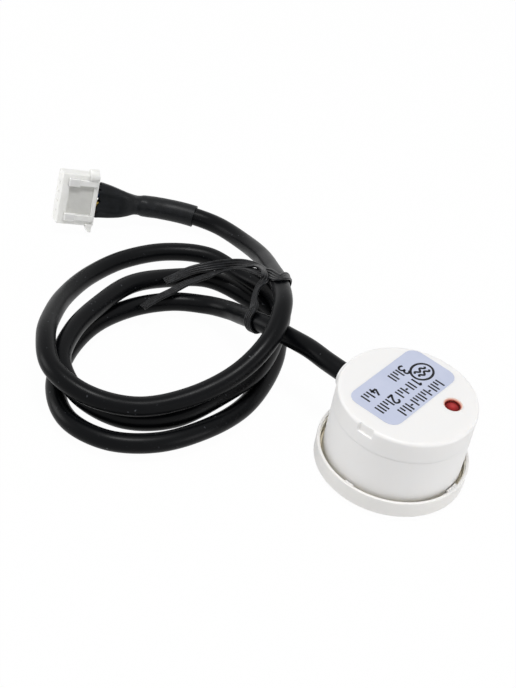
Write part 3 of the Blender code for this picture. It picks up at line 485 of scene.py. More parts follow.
class Line:
    """A smooth line through points, measured along its length."""

    def __init__(self, points: np.ndarray) -> None:
        """Keep the points and how far along each lies.

        Args:
            points: One row to a point; the first three columns are its place.
        """
        self.points = points
        steps = np.linalg.norm(np.diff(points[:, :3], axis=0), axis=1)
        self.reached = np.concatenate([[0.0], np.cumsum(steps)])

    @classmethod
    def through(cls, knots: Iterable[Point], steps: int = ROUTE_STEPS) -> "Line":
        """Draw a smooth line through knots.

        Args:
            knots: The points it passes, with any further columns.
            steps: How many points it gets from one knot to the next.

        Returns:
            The line.
        """
        known = np.array([tuple(knot) for knot in knots], float)
        known = np.vstack([2 * known[0] - known[1], known, 2 * known[-1] - known[-2]])
        curve = []
        for a, b, c, d in zip(known, known[1:], known[2:], known[3:]):
            for t in np.arange(steps) / steps:
                slope = (c - a) * t + (2 * a - 5 * b + 4 * c - d) * t**2 + (3 * b - a - 3 * c + d) * t**3
                curve.append(b + slope / 2)
        return cls(np.array(curve + [known[-2]]))

    @property
    def length(self) -> float:
        """How long the line is."""
        return float(self.reached[-1])

    def at(self, places: Sequence[float]) -> np.ndarray:
        """Give the points at these distances from the start."""
        return np.column_stack([np.interp(places, self.reached, column) for column in self.points.T])

    def ways(self, places: Sequence[float], step: float = 0.0004) -> np.ndarray:
        """Give the directions in which the line runs at these distances.

        Args:
            places: Distances from the start.
            step: The reach over which the direction is taken.

        Returns:
            One unit vector to a place.
        """
        where = np.asarray(places)
        ahead = self.at(where + step)[:, :3] - self.at(where - step)[:, :3]
        return ahead / np.linalg.norm(ahead, axis=1)[:, None]


def unit(vector: np.ndarray) -> np.ndarray:
    """Give the vector at length one."""
    return vector / np.linalg.norm(vector)


def rectangle(width: float, height: float) -> list[tuple[float, float]]:
    """Give the corners of a rectangle round the origin, counterclockwise."""
    x, y = width / 2, height / 2
    return [(-x, -y), (x, -y), (x, y), (-x, y)]


def around(radius: float, turn: float, height: float) -> tuple[float, float, float]:
    """Give the point at this radius, angle and height round the Z axis."""
    return radius * math.cos(turn), radius * math.sin(turn), height


def rounded(corners: Sequence[tuple[float, float]], radius: float, shrink: float = 0.0,
            steps: int = 4) -> list[tuple[float, float]]:
    """Round the corners of a convex outline.

    Args:
        corners: The outline's corners, counterclockwise.
        radius: The radius of its corners.
        shrink: How far the outline is drawn in, less than the radius.
        steps: How many steps each corner gets.

    Returns:
        The points of the rounded outline.
    """
    outline = []
    for before, here, after in zip([corners[-1], *corners[:-1]], corners, [*corners[1:], corners[0]]):
        way_in = Vector(here) - Vector(before)
        way_out = Vector(after) - Vector(here)
        start = math.atan2(-way_in.x, way_in.y)
        turn = (math.atan2(-way_out.x, way_out.y) - start) % math.tau
        middle_way = start + turn / 2
        reach = radius / math.cos(turn / 2)
        centre = (here[0] - reach * math.cos(middle_way), here[1] - reach * math.sin(middle_way))
        for i in range(steps + 1):
            angle = start + turn * i / steps
            outline.append((centre[0] + (radius - shrink) * math.cos(angle),
                            centre[1] + (radius - shrink) * math.sin(angle)))
    return outline


def filleted(corners: Sequence[Point], steps: int = 4, closed: bool = True) -> list[tuple[float, float]]:
    """Round each corner of a turned profile by its own radius.

    Args:
        corners: Radius, height and fillet of each corner.
        steps: How many steps each fillet gets.
        closed: Whether the last corner joins the first.

    Returns:
        The radius and height of each point.
    """
    path = []
    count = len(corners)
    for i, (x, y, fillet) in enumerate(corners):
        if not fillet or (not closed and i in (0, count - 1)):
            path.append((x, y))
            continue
        here = Vector((x, y))
        back = (Vector(corners[i - 1][:2]) - here).normalized()
        on = (Vector(corners[(i + 1) % count][:2]) - here).normalized()
        half = back.angle(on) / 2
        start = here + back * fillet / math.tan(half)
        end = here + on * fillet / math.tan(half)
        centre = here + (back + on).normalized() * fillet / math.sin(half)
        for k in range(steps + 1):
            spot = start.lerp(end, k / steps)
            spot = centre + (spot - centre).normalized() * fillet
            path.append((spot.x, spot.y))
    return path


def straight(frame: Matrix, start: Point) -> Place:
    """Give the place of a bar that runs along the frame's X from this point."""
    return lambda along, across, up: frame @ Vector((start[0] + along, start[1] + across, start[2] + up))


def bent(radius: float, height: float, start: float) -> Place:
    """Give the place of a bar that is bent round the Z axis.

    Args:
        radius: How far its middle lies from the axis, in metres.
        height: How high its middle lies, in metres.
        start: The angle where it starts, in degrees.

    Returns:
        What turns the bar's own coordinates into a place.
    """
    first = math.radians(start)

    def place(along: float, across: float, up: float) -> Vector:
        """Bend the bar's own coordinates round the axis."""
        return Vector(around(radius - across, first + along / radius, height + up))

    return place


class Skin:
    """A mesh in the making, put together from rings of points."""

    def __init__(self) -> None:
        """Start with no faces."""
        self.work = bmesh.new()

    def ring(self, points: Iterable[Point]) -> list[bmesh.types.BMVert]:
        """Add the points and give them back as vertices."""
        return [self.work.verts.new(point) for point in points]

    def face(self, corners: Sequence[bmesh.types.BMVert]) -> None:
        """Add one face unless its corners have fallen together.

        Args:
            corners: The face's corners in order.
        """
        distinct = list(dict.fromkeys(corners))
        if len(distinct) > 2:
            self.work.faces.new(distinct)

    def bridge(self, first: list[bmesh.types.BMVert], second: list[bmesh.types.BMVert],
               closed: bool = True) -> None:
        """Join two rings, or a ring and a single vertex, with faces.

        Args:
            first: One ring.
            second: The other, of the same count or of one vertex.
            closed: Whether each ring closes on itself.
        """
        count = max(len(first), len(second))
        for i in range(count if closed else count - 1):
            j = (i + 1) % count
            pick = [ring[k % len(ring)] for ring, k in ((first, i), (first, j), (second, j), (second, i))]
            self.face(pick)

    def loft(self, sections: Sequence[Sequence[Point]], capped: bool = True, joined: bool = False) -> None:
        """Join closed sections into one body.

        Args:
            sections: The rings of points, all of the same count.
            capped: Whether the first and last are closed with a face.
            joined: Whether the last is joined to the first instead.
        """
        rings = [self.ring(section) for section in sections]
        for first, second in zip(rings, rings[1:]):
            self.bridge(first, second)
        if joined:
            self.bridge(rings[-1], rings[0])
        elif capped:
            self.face(rings[0][::-1])
            self.face(rings[-1])

    def turn(self, profile: Sequence[Point], steps: int = 192, closed: bool = True,
             frame: Matrix = Matrix.Identity(4)) -> None:
        """Turn a profile round the frame's Z axis.

        Args:
            profile: Radius and height of each point; a radius of zero makes one vertex.
            steps: How many steps the turn has.
            closed: Whether the last point joins the first.
            frame: The frame that is turned in.
        """
        rings = []
        for radius, height in profile:
            if radius < ON_AXIS:
                rings.append(self.ring([frame @ Vector((0, 0, height))]))
                continue
            turns = [math.tau * i / steps for i in range(steps)]
            rings.append(self.ring([frame @ Vector(around(radius, t, height)) for t in turns]))
        pairs = list(zip(rings, rings[1:]))
        if closed and len(rings[0]) > 1:
            pairs.append((rings[-1], rings[0]))
        for first, second in pairs:
            self.bridge(first, second)

    def prism(self, corners: Sequence[tuple[float, float]], length: float, place: Place, radius: float,
              rounding: float, steps: int = 1) -> None:
        """Add a bar of a convex section with rounded corners and ends.

        Args:
            corners: The section's corners across and up, counterclockwise.
            length: The bar's length.
            place: Where a point along, across and up lies.
            radius: The radius of the section's corners.
            rounding: The radius at the two ends, at most the section's.
            steps: How many steps the straight part has.
        """
        quarter = [i * math.pi / 6 for i in range(4)]
        start = [(rounding * (1 - math.cos(t)), rounding * (1 - math.sin(t)) * END_SHARE) for t in quarter]
        middle = [(rounding + (length - 2 * rounding) * i / steps, 0.0) for i in range(1, steps)]
        end = [(length - along, shrink) for along, shrink in reversed(start)]
        self.loft([[place(along, x, y) for x, y in rounded(corners, radius, shrink)]
                   for along, shrink in start + middle + end])

    def bar(self, width: float, height: float, length: float, place: Place, rounding: float,
            steps: int = 1) -> None:
        """Add a rectangular bar with all its edges rounded alike."""
        self.prism(rectangle(width, height), length, place, rounding, rounding, steps)

    def without(self, cutter: "Skin") -> None:
        """Cut another skin's bodies out of this one.

        Args:
            cutter: What is cut out; it is used up.
        """
        pieces = []
        for name, skin in (("kept", self), ("cutter", cutter)):
            bmesh.ops.recalc_face_normals(skin.work, faces=skin.work.faces)
            mesh = bpy.data.meshes.new(name)
            skin.work.to_mesh(mesh)
            skin.work.free()
            pieces.append(bpy.data.objects.new(name, mesh))
            bpy.context.scene.collection.objects.link(pieces[-1])
        kept, tool = pieces
        step = kept.modifiers.new("cut", "BOOLEAN")
        step.object = tool
        step.operation = "DIFFERENCE"
        step.solver = "EXACT"
        step.use_self = True
        graph = bpy.context.evaluated_depsgraph_get()
        cut = bpy.data.meshes.new_from_object(kept.evaluated_get(graph))
        self.work = bmesh.new()
        self.work.from_mesh(cut)
        for piece in pieces:
            bpy.data.objects.remove(piece, do_unlink=True)

    def piece(self, name: str, look: Look, slot: str, body: str = "sensor_head", replaces: Sequence[str] = (),
              crease: float = 32.0) -> bpy.types.Object:
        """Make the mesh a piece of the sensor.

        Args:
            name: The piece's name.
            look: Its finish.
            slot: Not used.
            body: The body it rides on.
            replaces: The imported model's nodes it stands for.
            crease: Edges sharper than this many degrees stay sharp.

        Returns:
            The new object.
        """
        bmesh.ops.recalc_face_normals(self.work, faces=self.work.faces)
        mesh = bpy.data.meshes.new(name)
        self.work.to_mesh(mesh)
        self.work.free()
        mesh.shade_smooth()
        mesh.set_sharp_from_angle(angle=math.radians(crease))
        mesh.materials.append(look.material())
        piece = bpy.data.objects.new(name, mesh)
        bpy.context.scene.collection.objects.link(piece)
        # Large flat faces keep their own normal beside small fillets
        even = piece.modifiers.new("even_shading", "WEIGHTED_NORMAL")
        even.keep_sharp = True
        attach(piece, body)
        if replaces:
            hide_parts(*replaces)
        LOG.info("%s: %d faces", name, len(mesh.polygons))
        return piece


@dataclass(frozen=True)
class StudioCamera:
    """The camera, where the photograph was taken from."""

    place: Point = (0.08761, -0.18970, 0.19419)
    right: Point = (0.757, 0.634, 0.155)
    up: Point = (-0.508, 0.423, 0.751)
    lens: float = 81.65
    sensor: float = 36.0
    clip: float = 0.01

    def build(self) -> bpy.types.Object:
        """Make the camera and let the scene use it.

        Returns:
            The camera.
        """
        data = bpy.data.cameras.new("studio_camera")
        data.lens = self.lens
        data.sensor_width = self.sensor
        data.sensor_fit = "AUTO"
        data.clip_start = self.clip
        camera = bpy.data.objects.new("studio_camera", data)
        right = Vector(self.right).normalized()
        back = right.cross(Vector(self.up)).normalized()
        turn = Matrix((right, back.cross(right), back)).transposed().to_4x4()
        camera.matrix_world = Matrix.Translation(self.place) @ turn
        bpy.context.scene.collection.objects.link(camera)
        bpy.context.scene.camera = camera
        return camera


@dataclass(frozen=True)
class PlugPlace:
    """Where the plug lies, and the sizes its place depends on."""

    spot: tuple[float, float] = (-0.08434, 0.00854)
    heading: float = 234.5
    lean: float = 70.5
    rise: float = 8.6
    length: float = 0.0075
    width: float = 0.0106
    thickness: float = 0.0046

    def frame(self) -> Matrix:
        """Give the plug's frame.

        Returns:
            The matrix with X in the mating direction, Y down the plug's width and Z out of its front.
        """
        lean = math.radians(self.lean)
        tilt = math.cos(math.radians(self.rise))
        height = tilt * (self.width / 2 * math.sin(lean) + self.thickness / 2 * math.cos(lean))
        spin = (Matrix.Rotation(math.radians(self.heading), 4, "Z")
                @ Matrix.Rotation(math.radians(-self.rise), 4, "Y") @ Matrix.Rotation(-lean, 4, "X"))
        return Matrix.Translation((*self.spot, height)) @ spin


@dataclass(frozen=True)
class CableWay:
    """The line that the cable and its cores follow from the head to the plug."""

    plug: PlugPlace
    inner_end: Point = (-0.0090, 0.0, 0.0120)
    sleeve_short: float = 0.0012

    def line(self) -> Line:
        """Draw the whole way.

        Returns:
            The line from the inner end of the cable to the plug.
        """
        frame = self.plug.frame()
        ends = (tuple(frame @ Vector((-self.sleeve_short, 0, 0))), tuple(frame @ Vector((0, 0, 0))))
        return Line.through([self.inner_end, *metres(CABLE_ROUTE + BUNDLE_ROUTE), *ends])

    def jacket_end(self) -> float:
        """How far along the jacket ends."""
        return float(self.line().reached[ROUTE_STEPS * len(CABLE_ROUTE)])

    def sleeve_end(self) -> float:
        """How far along the sleeve ends."""
        return float(self.line().reached[ROUTE_STEPS * (len(CABLE_ROUTE) + len(BUNDLE_ROUTE) + 1)])


@dataclass(frozen=True)
class Cable:
    """The round jacketed cable, coiled twice and a little more."""

    way: CableWay
    diameter: float = CABLE_DIAMETER
    exit_point: Point = (-0.0161, 0.0, 0.0120)
    sides: int = 40
    spacing: float = 0.0006
    path_points: int = 800

    def build(self) -> bpy.types.Object:
        """Sweep the jacket along its way.

        Returns:
            The cable.
        """
        line = self.way.line()
        end = self.way.jacket_end()
        places = np.linspace(0.0, end, round(end / self.spacing))
        centres = line.at(places)
        side = np.array([0.0, 1.0, 0.0])
        sections = []
        for centre, way in zip(centres, line.ways(places, self.diameter / 4)):
            side = unit(side - way * float(side @ way))
            third = np.cross(way, side)
            sections.append([centre + (side * math.cos(t) + third * math.sin(t)) * self.diameter / 2
                             for t in np.linspace(0, math.tau, self.sides, endpoint=False)])
        skin = Skin()
        skin.loft(sections)
        return skin.piece("cable_jacket", Look.JACKET, "jacket", replaces=["cable"])

    def declare(self) -> None:
        """Work out the cable's path and free length; nothing further is done with them.
        """
        line = self.way.line()
        path = line.at(np.linspace(0.0, self.way.jacket_end(), self.path_points))
        length = self.way.jacket_end() - math.dist(self.way.inner_end, self.exit_point)
        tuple(self.exit_point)


@dataclass(frozen=True)
class HeatShrinkSleeve:
    """The shrunk sleeve: round over the jacket, drawn in at its end, then flat over four cores."""

    way: CableWay
    overlap: float = 0.0064
    wall: float = 0.0003
    core_radius: float = 0.000475
    skin_gap: float = 0.00015
    scallop: float = 0.0007
    tooth: float = 0.00118
    ripple: float = 0.00011
    crumple: float = 0.00006
    crumple_fineness: float = 900
    slope_reach: float = 0.0009
    sides: int = 96
    # Shares of the way: where it starts to flatten, where it is crumpled most and where its teeth start
    flat_start: float = 0.40
    crumple_middle: float = 0.35
    teeth_start: float = 0.965
    # Share of the way from the jacket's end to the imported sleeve's end, half width, half thickness
    shape: tuple[Point, ...] = (
        (-0.45, 0.00226, 0.00226), (-0.20, 0.00226, 0.00226), (0.10, 0.00225, 0.00225),
        (0.26, 0.00225, 0.00224), (0.315, 0.00222, 0.00218), (0.36, 0.00204, 0.00192),
        (0.40, 0.00198, 0.00172), (0.47, 0.00208, 0.00155), (0.57, 0.00243, 0.00140),
        (0.70, 0.00288, 0.00125), (0.85, 0.00336, 0.00110), (1.027, 0.00374, 0.00095),
    )

    def outline(self, turn: float, wide: float, thin: float) -> tuple[float, float]:
        """Give a point of the section, which goes from a circle to a flat oval as it widens.

        Args:
            turn: The angle round the section.
            wide: Half its width.
            thin: Half its thickness.

        Returns:
            The point across the plug's width and across the other way.
        """
        power = 2 / (2 + 2 * min(1.0, (wide / thin - 1) / 1.5))
        x = math.copysign(abs(math.cos(turn)) ** power, math.cos(turn))
        y = math.copysign(abs(math.sin(turn)) ** power, math.sin(turn))
        return wide * x, thin * y

    def pitch(self) -> float:
        """The spacing of the four cores side by side at the flat end."""
        return 2 * (self.shape[-1][1] - self.wall - self.core_radius - self.skin_gap) / 3

    def section(self, line: Line, place: float, share: float, wide: float, thin: float,
                inset: float) -> list[Point]:
        """Give one ring of the sleeve.

        Args:
            line: The cable's way.
            place: How far along it the ring lies.
            share: The ring's share of the way over the cores.
            wide: Half the sleeve's width there.
            thin: Half its thickness.
            inset: How far the ring is drawn in from the outside.

        Returns:
            The ring's points.
        """
        centre = line.at([place])[0]
        way = line.ways([place], self.slope_reach)[0]
        across = -np.array(self.way.plug.frame().to_3x3().col[1])
        across = unit(across - way * float(across @ way))
        third = np.cross(way, across)
        flatness = max(0.0, min(1.0, (share - self.flat_start) / (1 - self.flat_start)))
        points = []
        for turn in np.linspace(0, math.tau, self.sides, endpoint=False):
            x, y = self.outline(turn, wide - inset, thin - inset)
            wave = math.cos(math.tau * x / self.pitch() + math.pi)
            y += math.copysign(self.ripple * flatness**2 * (wave - 1) / 2, y)
            spot = centre + across * x + third * y
            crumpled = self.crumple * max(0.0, 1 - abs(share - self.crumple_middle) / 0.5)
            spot = spot + unit(spot - centre) * noise.noise(Vector(spot) * self.crumple_fineness) * crumpled
            jag = abs(math.sin(math.pi * x / self.tooth)) - 0.5
            points.append(spot + way * jag * self.scallop * max(0.0, (share - self.teeth_start) / 0.05))
        return points

    def build(self) -> bpy.types.Object:
        """Sweep the sleeve's outside and inside.

        Returns:
            The sleeve.
        """
        line = self.way.line()
        start, end = self.way.jacket_end(), self.way.sleeve_end()
        span = end - start
        first = -self.overlap / span
        shares = np.concatenate([np.linspace(first, 0, 14, endpoint=False),
                                 np.linspace(0, self.shape[-1][0], 64)])
        known = Line.through(self.shape, 8).points
        sections = []
        for inset, order in ((0.0, shares), (self.wall, shares[::-1])):
            for share in order:
                wide = float(np.interp(share, known[:, 0], known[:, 1]))
                thin = float(np.interp(share, known[:, 0], known[:, 2]))
                sections.append(self.section(line, start + span * share, share, wide, thin, inset))
        skin = Skin()
        skin.loft(sections, joined=True)
        return skin.piece("shrink_sleeve", Look.SHRINK, "shrink_tube", replaces=["heat_shrink_sleeve"],
                          crease=50.0)


@dataclass(frozen=True)
class TwistTie:
    """The flat ribbed tie: once round the strands, with two free ends."""

    way: CableWay
    width: float = 0.0020
    thickness: float = 0.0005
    gap: float = 0.00008
    cable_radius: float = CABLE_DIAMETER / 2
    ribs: int = 4
    rib_steps: int = 6
    rows: int = 420

    def on_strand(self, curve: np.ndarray, place: float, degrees: float) -> tuple[float, ...]:
        """Give a point on a strand, and the way the tie's face looks there.

        Args:
            curve: The points of the cable's way.
            place: Which knot of the route it lies at.
            degrees: How far round the strand.

        Returns:
            The point and the facing direction, six numbers.
        """
        step = place * ROUTE_STEPS + ROUTE_STEPS
        low = int(step)
        centre = curve[low] + (curve[low + 1] - curve[low]) * (step - low)
        way = unit(curve[low + 2] - curve[low - 1])
        side = unit(np.array([-way[1], way[0], 0.0]))
        up = np.cross(side, way)
        up = up if up[2] > 0 else -up
        turn = math.radians(degrees)
        facing = side * math.cos(turn) + up * math.sin(turn)
        return (*(centre + facing * (self.cable_radius + self.gap + self.thickness / 2)), *facing)

    def loose_end(self, points: Sequence[Point]) -> list[tuple[float, ...]]:
        """Give the points of a free end, with its face rolled away from upward.

        Args:
            points: Each point's place and its roll in degrees.

        Returns:
            The points and their facing directions, six numbers each.
        """
        known = np.array(points)
        ways = np.gradient(known[:, :3], axis=0)
        rows = []
        for point, way in zip(known, ways):
            turn = Matrix.Rotation(math.radians(point[3]), 3, Vector(way))
            rows.append((*point[:3], *(turn @ Vector((0.0, 0.0, 1.0)))))
        return rows

    def section(self) -> list[tuple[float, float]]:
        """Give the ribbed outline of the strip.

        Returns:
            Its points, across the width and through the thickness.
        """
        count = self.ribs * self.rib_steps
        top = []
        for i in range(count + 1):
            share = i / count
            bulge = abs(math.sin(math.pi * self.ribs * share)) ** 0.6
            top.append((self.width * (share - 0.5), self.thickness / 2 * (0.5 + 0.5 * bulge)))
        return top + [(x, -y) for x, y in reversed(top)]

    def build(self) -> bpy.types.Object:
        """Sweep the strip from one tip round the strands to the other.

        Returns:
            The tie.
        """
        curve = self.way.line().points
        knots = self.loose_end(metres(TIE_UPPER_END))
        knots += [self.on_strand(curve, place, degrees) for place, degrees in TIE_WRAP]
        knots += self.loose_end(metres(TIE_LOWER_END))
        line = Line.through(knots, 4)
        places = np.linspace(0.0, line.length, self.rows)
        outline = self.section()
        sections = []
        for row, way in zip(line.at(places), line.ways(places)):
            across = unit(np.cross(way, row[3:]))
            normal = np.cross(across, way)
            sections.append([row[:3] + across * x + normal * y for x, y in outline])
        skin = Skin()
        skin.loft(sections)
        return skin.piece("ribbed_tie", Look.TIE, "tie_plastic", replaces=["twist_tie"], crease=60.0)


@dataclass(frozen=True)
class ConnectorHousing:
    """The four-way crimp housing: body with a sunk front, two rails with stepped ends, two ears."""

    plug: PlugPlace
    pitch: float = 0.0020
    rounding: float = 0.00022
    wire_lip: float = 0.0003
    rail_height: float = 0.0007
    rail_middle: float = 0.00365
    rail_width: float = 0.0012
    rail_length: float = 0.0061
    rail_root: float = 0.0002
    rail_round: float = 0.00016
    step_length: float = 0.0023
    step_rise: float = 0.00025
    step_reach: float = 0.0001
    step_wider: float = 0.0004
    recess: float = 0.00030
    recess_start: float = 0.00065
    recess_length: float = 0.0052
    recess_round: float = 0.00012
    shade_sheet: float = 0.0001
    thin_gap: float = 0.00003
    cavity: tuple[float, float] = (0.0015, 0.0017)
    pin_hole: float = 0.0005
    pin_depth: float = 0.0004
    window: tuple[float, float] = (0.0015, 0.0017)
    mating_wall: float = 0.0010
    ear_reach: float = 0.0012
    ear_length: float = 0.0018
    ear_round: float = 0.00015
    fin_length: float = 0.0016
    fin_tip: float = 0.0007

    def build(self) -> bpy.types.Object:
        """Make the body, cut its hollows and add what stands proud.

        Returns:
            The housing.
        """
        frame = self.plug.frame()
        back = -self.plug.thickness / 2
        body = self.plug.thickness - self.rail_height
        skin = Skin()
        skin.bar(self.plug.width, body, self.plug.length + self.wire_lip,
                 straight(frame, (-self.wire_lip, 0, back + body / 2)), self.rounding)
        skin.without(self.hollows(frame, back, body))
        self.rails(skin, frame)
        self.ears(skin, frame)
        return skin.piece("plug_housing", Look.NYLON, "nylon", replaces=["connector_housing"])

    def hollows(self, frame: Matrix, back: float, body: float) -> Skin:
        """Give the cavities, pin holes, lance windows and the sunk front.

        Args:
            frame: The plug's frame.
            back: The height of the plug's back.
            body: The thickness of its body.

        Returns:
            The skin to cut out.
        """
        tool = Skin()
        length = self.plug.length
        pin, small = self.pin_hole, self.thin_gap
        for way in range(4):
            y = (way - 1.5) * self.pitch
            tool.bar(*self.cavity, length, straight(frame, (-self.mating_wall, y, 0)), 0.00005)
            tool.bar(pin, pin, 5 * self.pin_depth, straight(frame, (length - self.pin_depth, y, 0)), small)
            tool.bar(pin, *self.window, straight(frame, ((length - self.window[1]) / 2, y, back)), small)
        tool.bar(2 * self.rail_middle - self.rail_width, 2 * self.recess, self.recess_length,
                 straight(frame, (self.recess_start, 0, back + body)), self.recess_round)
        return tool

    def rails(self, skin: Skin, frame: Matrix) -> None:
        """Add the two rails, each with a higher step at its mating end.

        Args:
            skin: The housing's skin.
            frame: The plug's frame.
        """
        top = self.plug.thickness / 2
        foot = top - self.rail_height - self.rail_root
        rail = (0.0, self.rail_length, top - self.step_rise, self.rail_width)
        step = (self.rail_length - self.step_length, self.step_length + self.step_reach, top,
                self.rail_width + self.step_wider)
        for side in (1, -1):
            for start, length, high, width in (rail, step):
                middle = (start, side * self.rail_middle, (high + foot) / 2)
                skin.bar(width, high - foot, length, straight(frame, middle), self.rail_round)

    def build_recess_shade(self) -> bpy.types.Object:
        """Make a thin sheet at the bottom of the sunk front: a greyer copy of the nylon that paints the shade
        there.

        Returns:
            The thin wall.
        """
        skin = Skin()
        gap = self.thin_gap
        floor = self.plug.thickness / 2 - self.rail_height - self.recess
        across = 2 * self.rail_middle - self.rail_width
        skin.bar(across - 2 * gap, self.shade_sheet, self.recess_length - 2 * gap,
                 straight(self.plug.frame(), (self.recess_start + gap, 0, floor - gap)), gap)
        return skin.piece("plug_recess_shade", Look.THIN_NYLON, "nylon")

    def ears(self, skin: Skin, frame: Matrix) -> None:
        """Add the round ear on the upper end and the pointed one on the lower end.

        Args:
            skin: The housing's skin.
            frame: The plug's frame.
        """
        size = self.ear_reach + self.rounding
        half = self.plug.width / 2
        top = self.plug.thickness / 2
        start = self.rounding / 2
        axis = frame @ Matrix.Translation((start, -half + self.rounding, top - size)) @ Matrix.Rotation(
            math.pi / 2, 4, "Y")
        profile = filleted(((0, 0, 0), (size, 0, self.ear_round), (size, self.ear_length, self.ear_round),
                            (0, self.ear_length, 0)), closed=False)
        skin.turn(profile, 48, closed=False, frame=axis)
        inside = half - 2 * self.rounding
        point = half + self.ear_reach
        thick = 2 * self.ear_reach
        low = top - self.rounding - thick
        skin.prism([(start, inside), (self.fin_length, inside), (self.fin_tip, point), (start, point)], thick,
                   lambda along, across, up: frame @ Vector((across, up, low + along)), 0.0001, 0.00008)


@dataclass(frozen=True)
class HeadSizes:
    """The sizes that the head's shells share."""

    radius: float = 0.0127
    height: float = 0.0164
    wall: float = 0.0012
    seam: float = 0.0120
    seam_gap: float = 0.000025
    seam_edge: float = 0.00008
    board_top: float = 0.0093
    seat_gap: float = 0.0003
    lamp: tuple[float, float] = LAMP_MIDDLE
    lamp_hole: float = 0.00145
    steps: int = 240


class Half(Enum):
    """The shell that a half nozzle belongs to."""

    UPPER = 1
    LOWER = -1


@dataclass(frozen=True)
class Nozzle:
    """The tapered nozzle that the cable leaves by, half on each shell."""

    head: HeadSizes
    reach: float = 0.0009
    root: float = 0.0030
    tip: float = 0.00245
    bore: float = 0.00196
    tip_round: float = 0.0002
    taper: float = 1.6

    def stations(self) -> list[tuple[float, float]]:
        """Give the nozzle's shape from inside the wall to the tip.

        Returns:
            The distance from the head's axis and the outer radius, for each station.
        """
        wall = self.head.radius
        flare = wall + self.reach - self.tip_round
        # Inside the wall the root swells a little, so that it joins without a slit
        stations = [(wall - 0.7 * self.head.wall, self.root * 1.12), (wall - 0.0002, self.root * 1.08)]
        for i in range(13):
            share = 1 - i / 12
            stations.append((wall + (flare - wall) * (1 - share),
                             self.tip + (self.root - self.tip) * share**self.taper))
        for i in range(1, 5):
            turn = i * math.pi / 8
            stations.append((flare + self.tip_round * math.sin(turn),
                             self.tip - self.tip_round * (1 - math.cos(turn))))
        return stations

    def add(self, skin: Skin, half: Half) -> None:
        """Add one half of the nozzle to a shell's skin.

        Args:
            skin: The shell's skin.
            half: Which half.
        """
        turns = [math.pi * i / 32 for i in range(33)]
        sections = []
        for x, outer in self.stations():
            rim = [(math.cos(t) * outer, math.sin(t) * outer) for t in turns]
            rim += [(math.cos(t) * self.bore, math.sin(t) * self.bore) for t in reversed(turns)]
            sections.append([(-x, y, self.head.seam + half.value * (z + self.head.seam_gap)) for y, z in rim])
        skin.loft(sections)


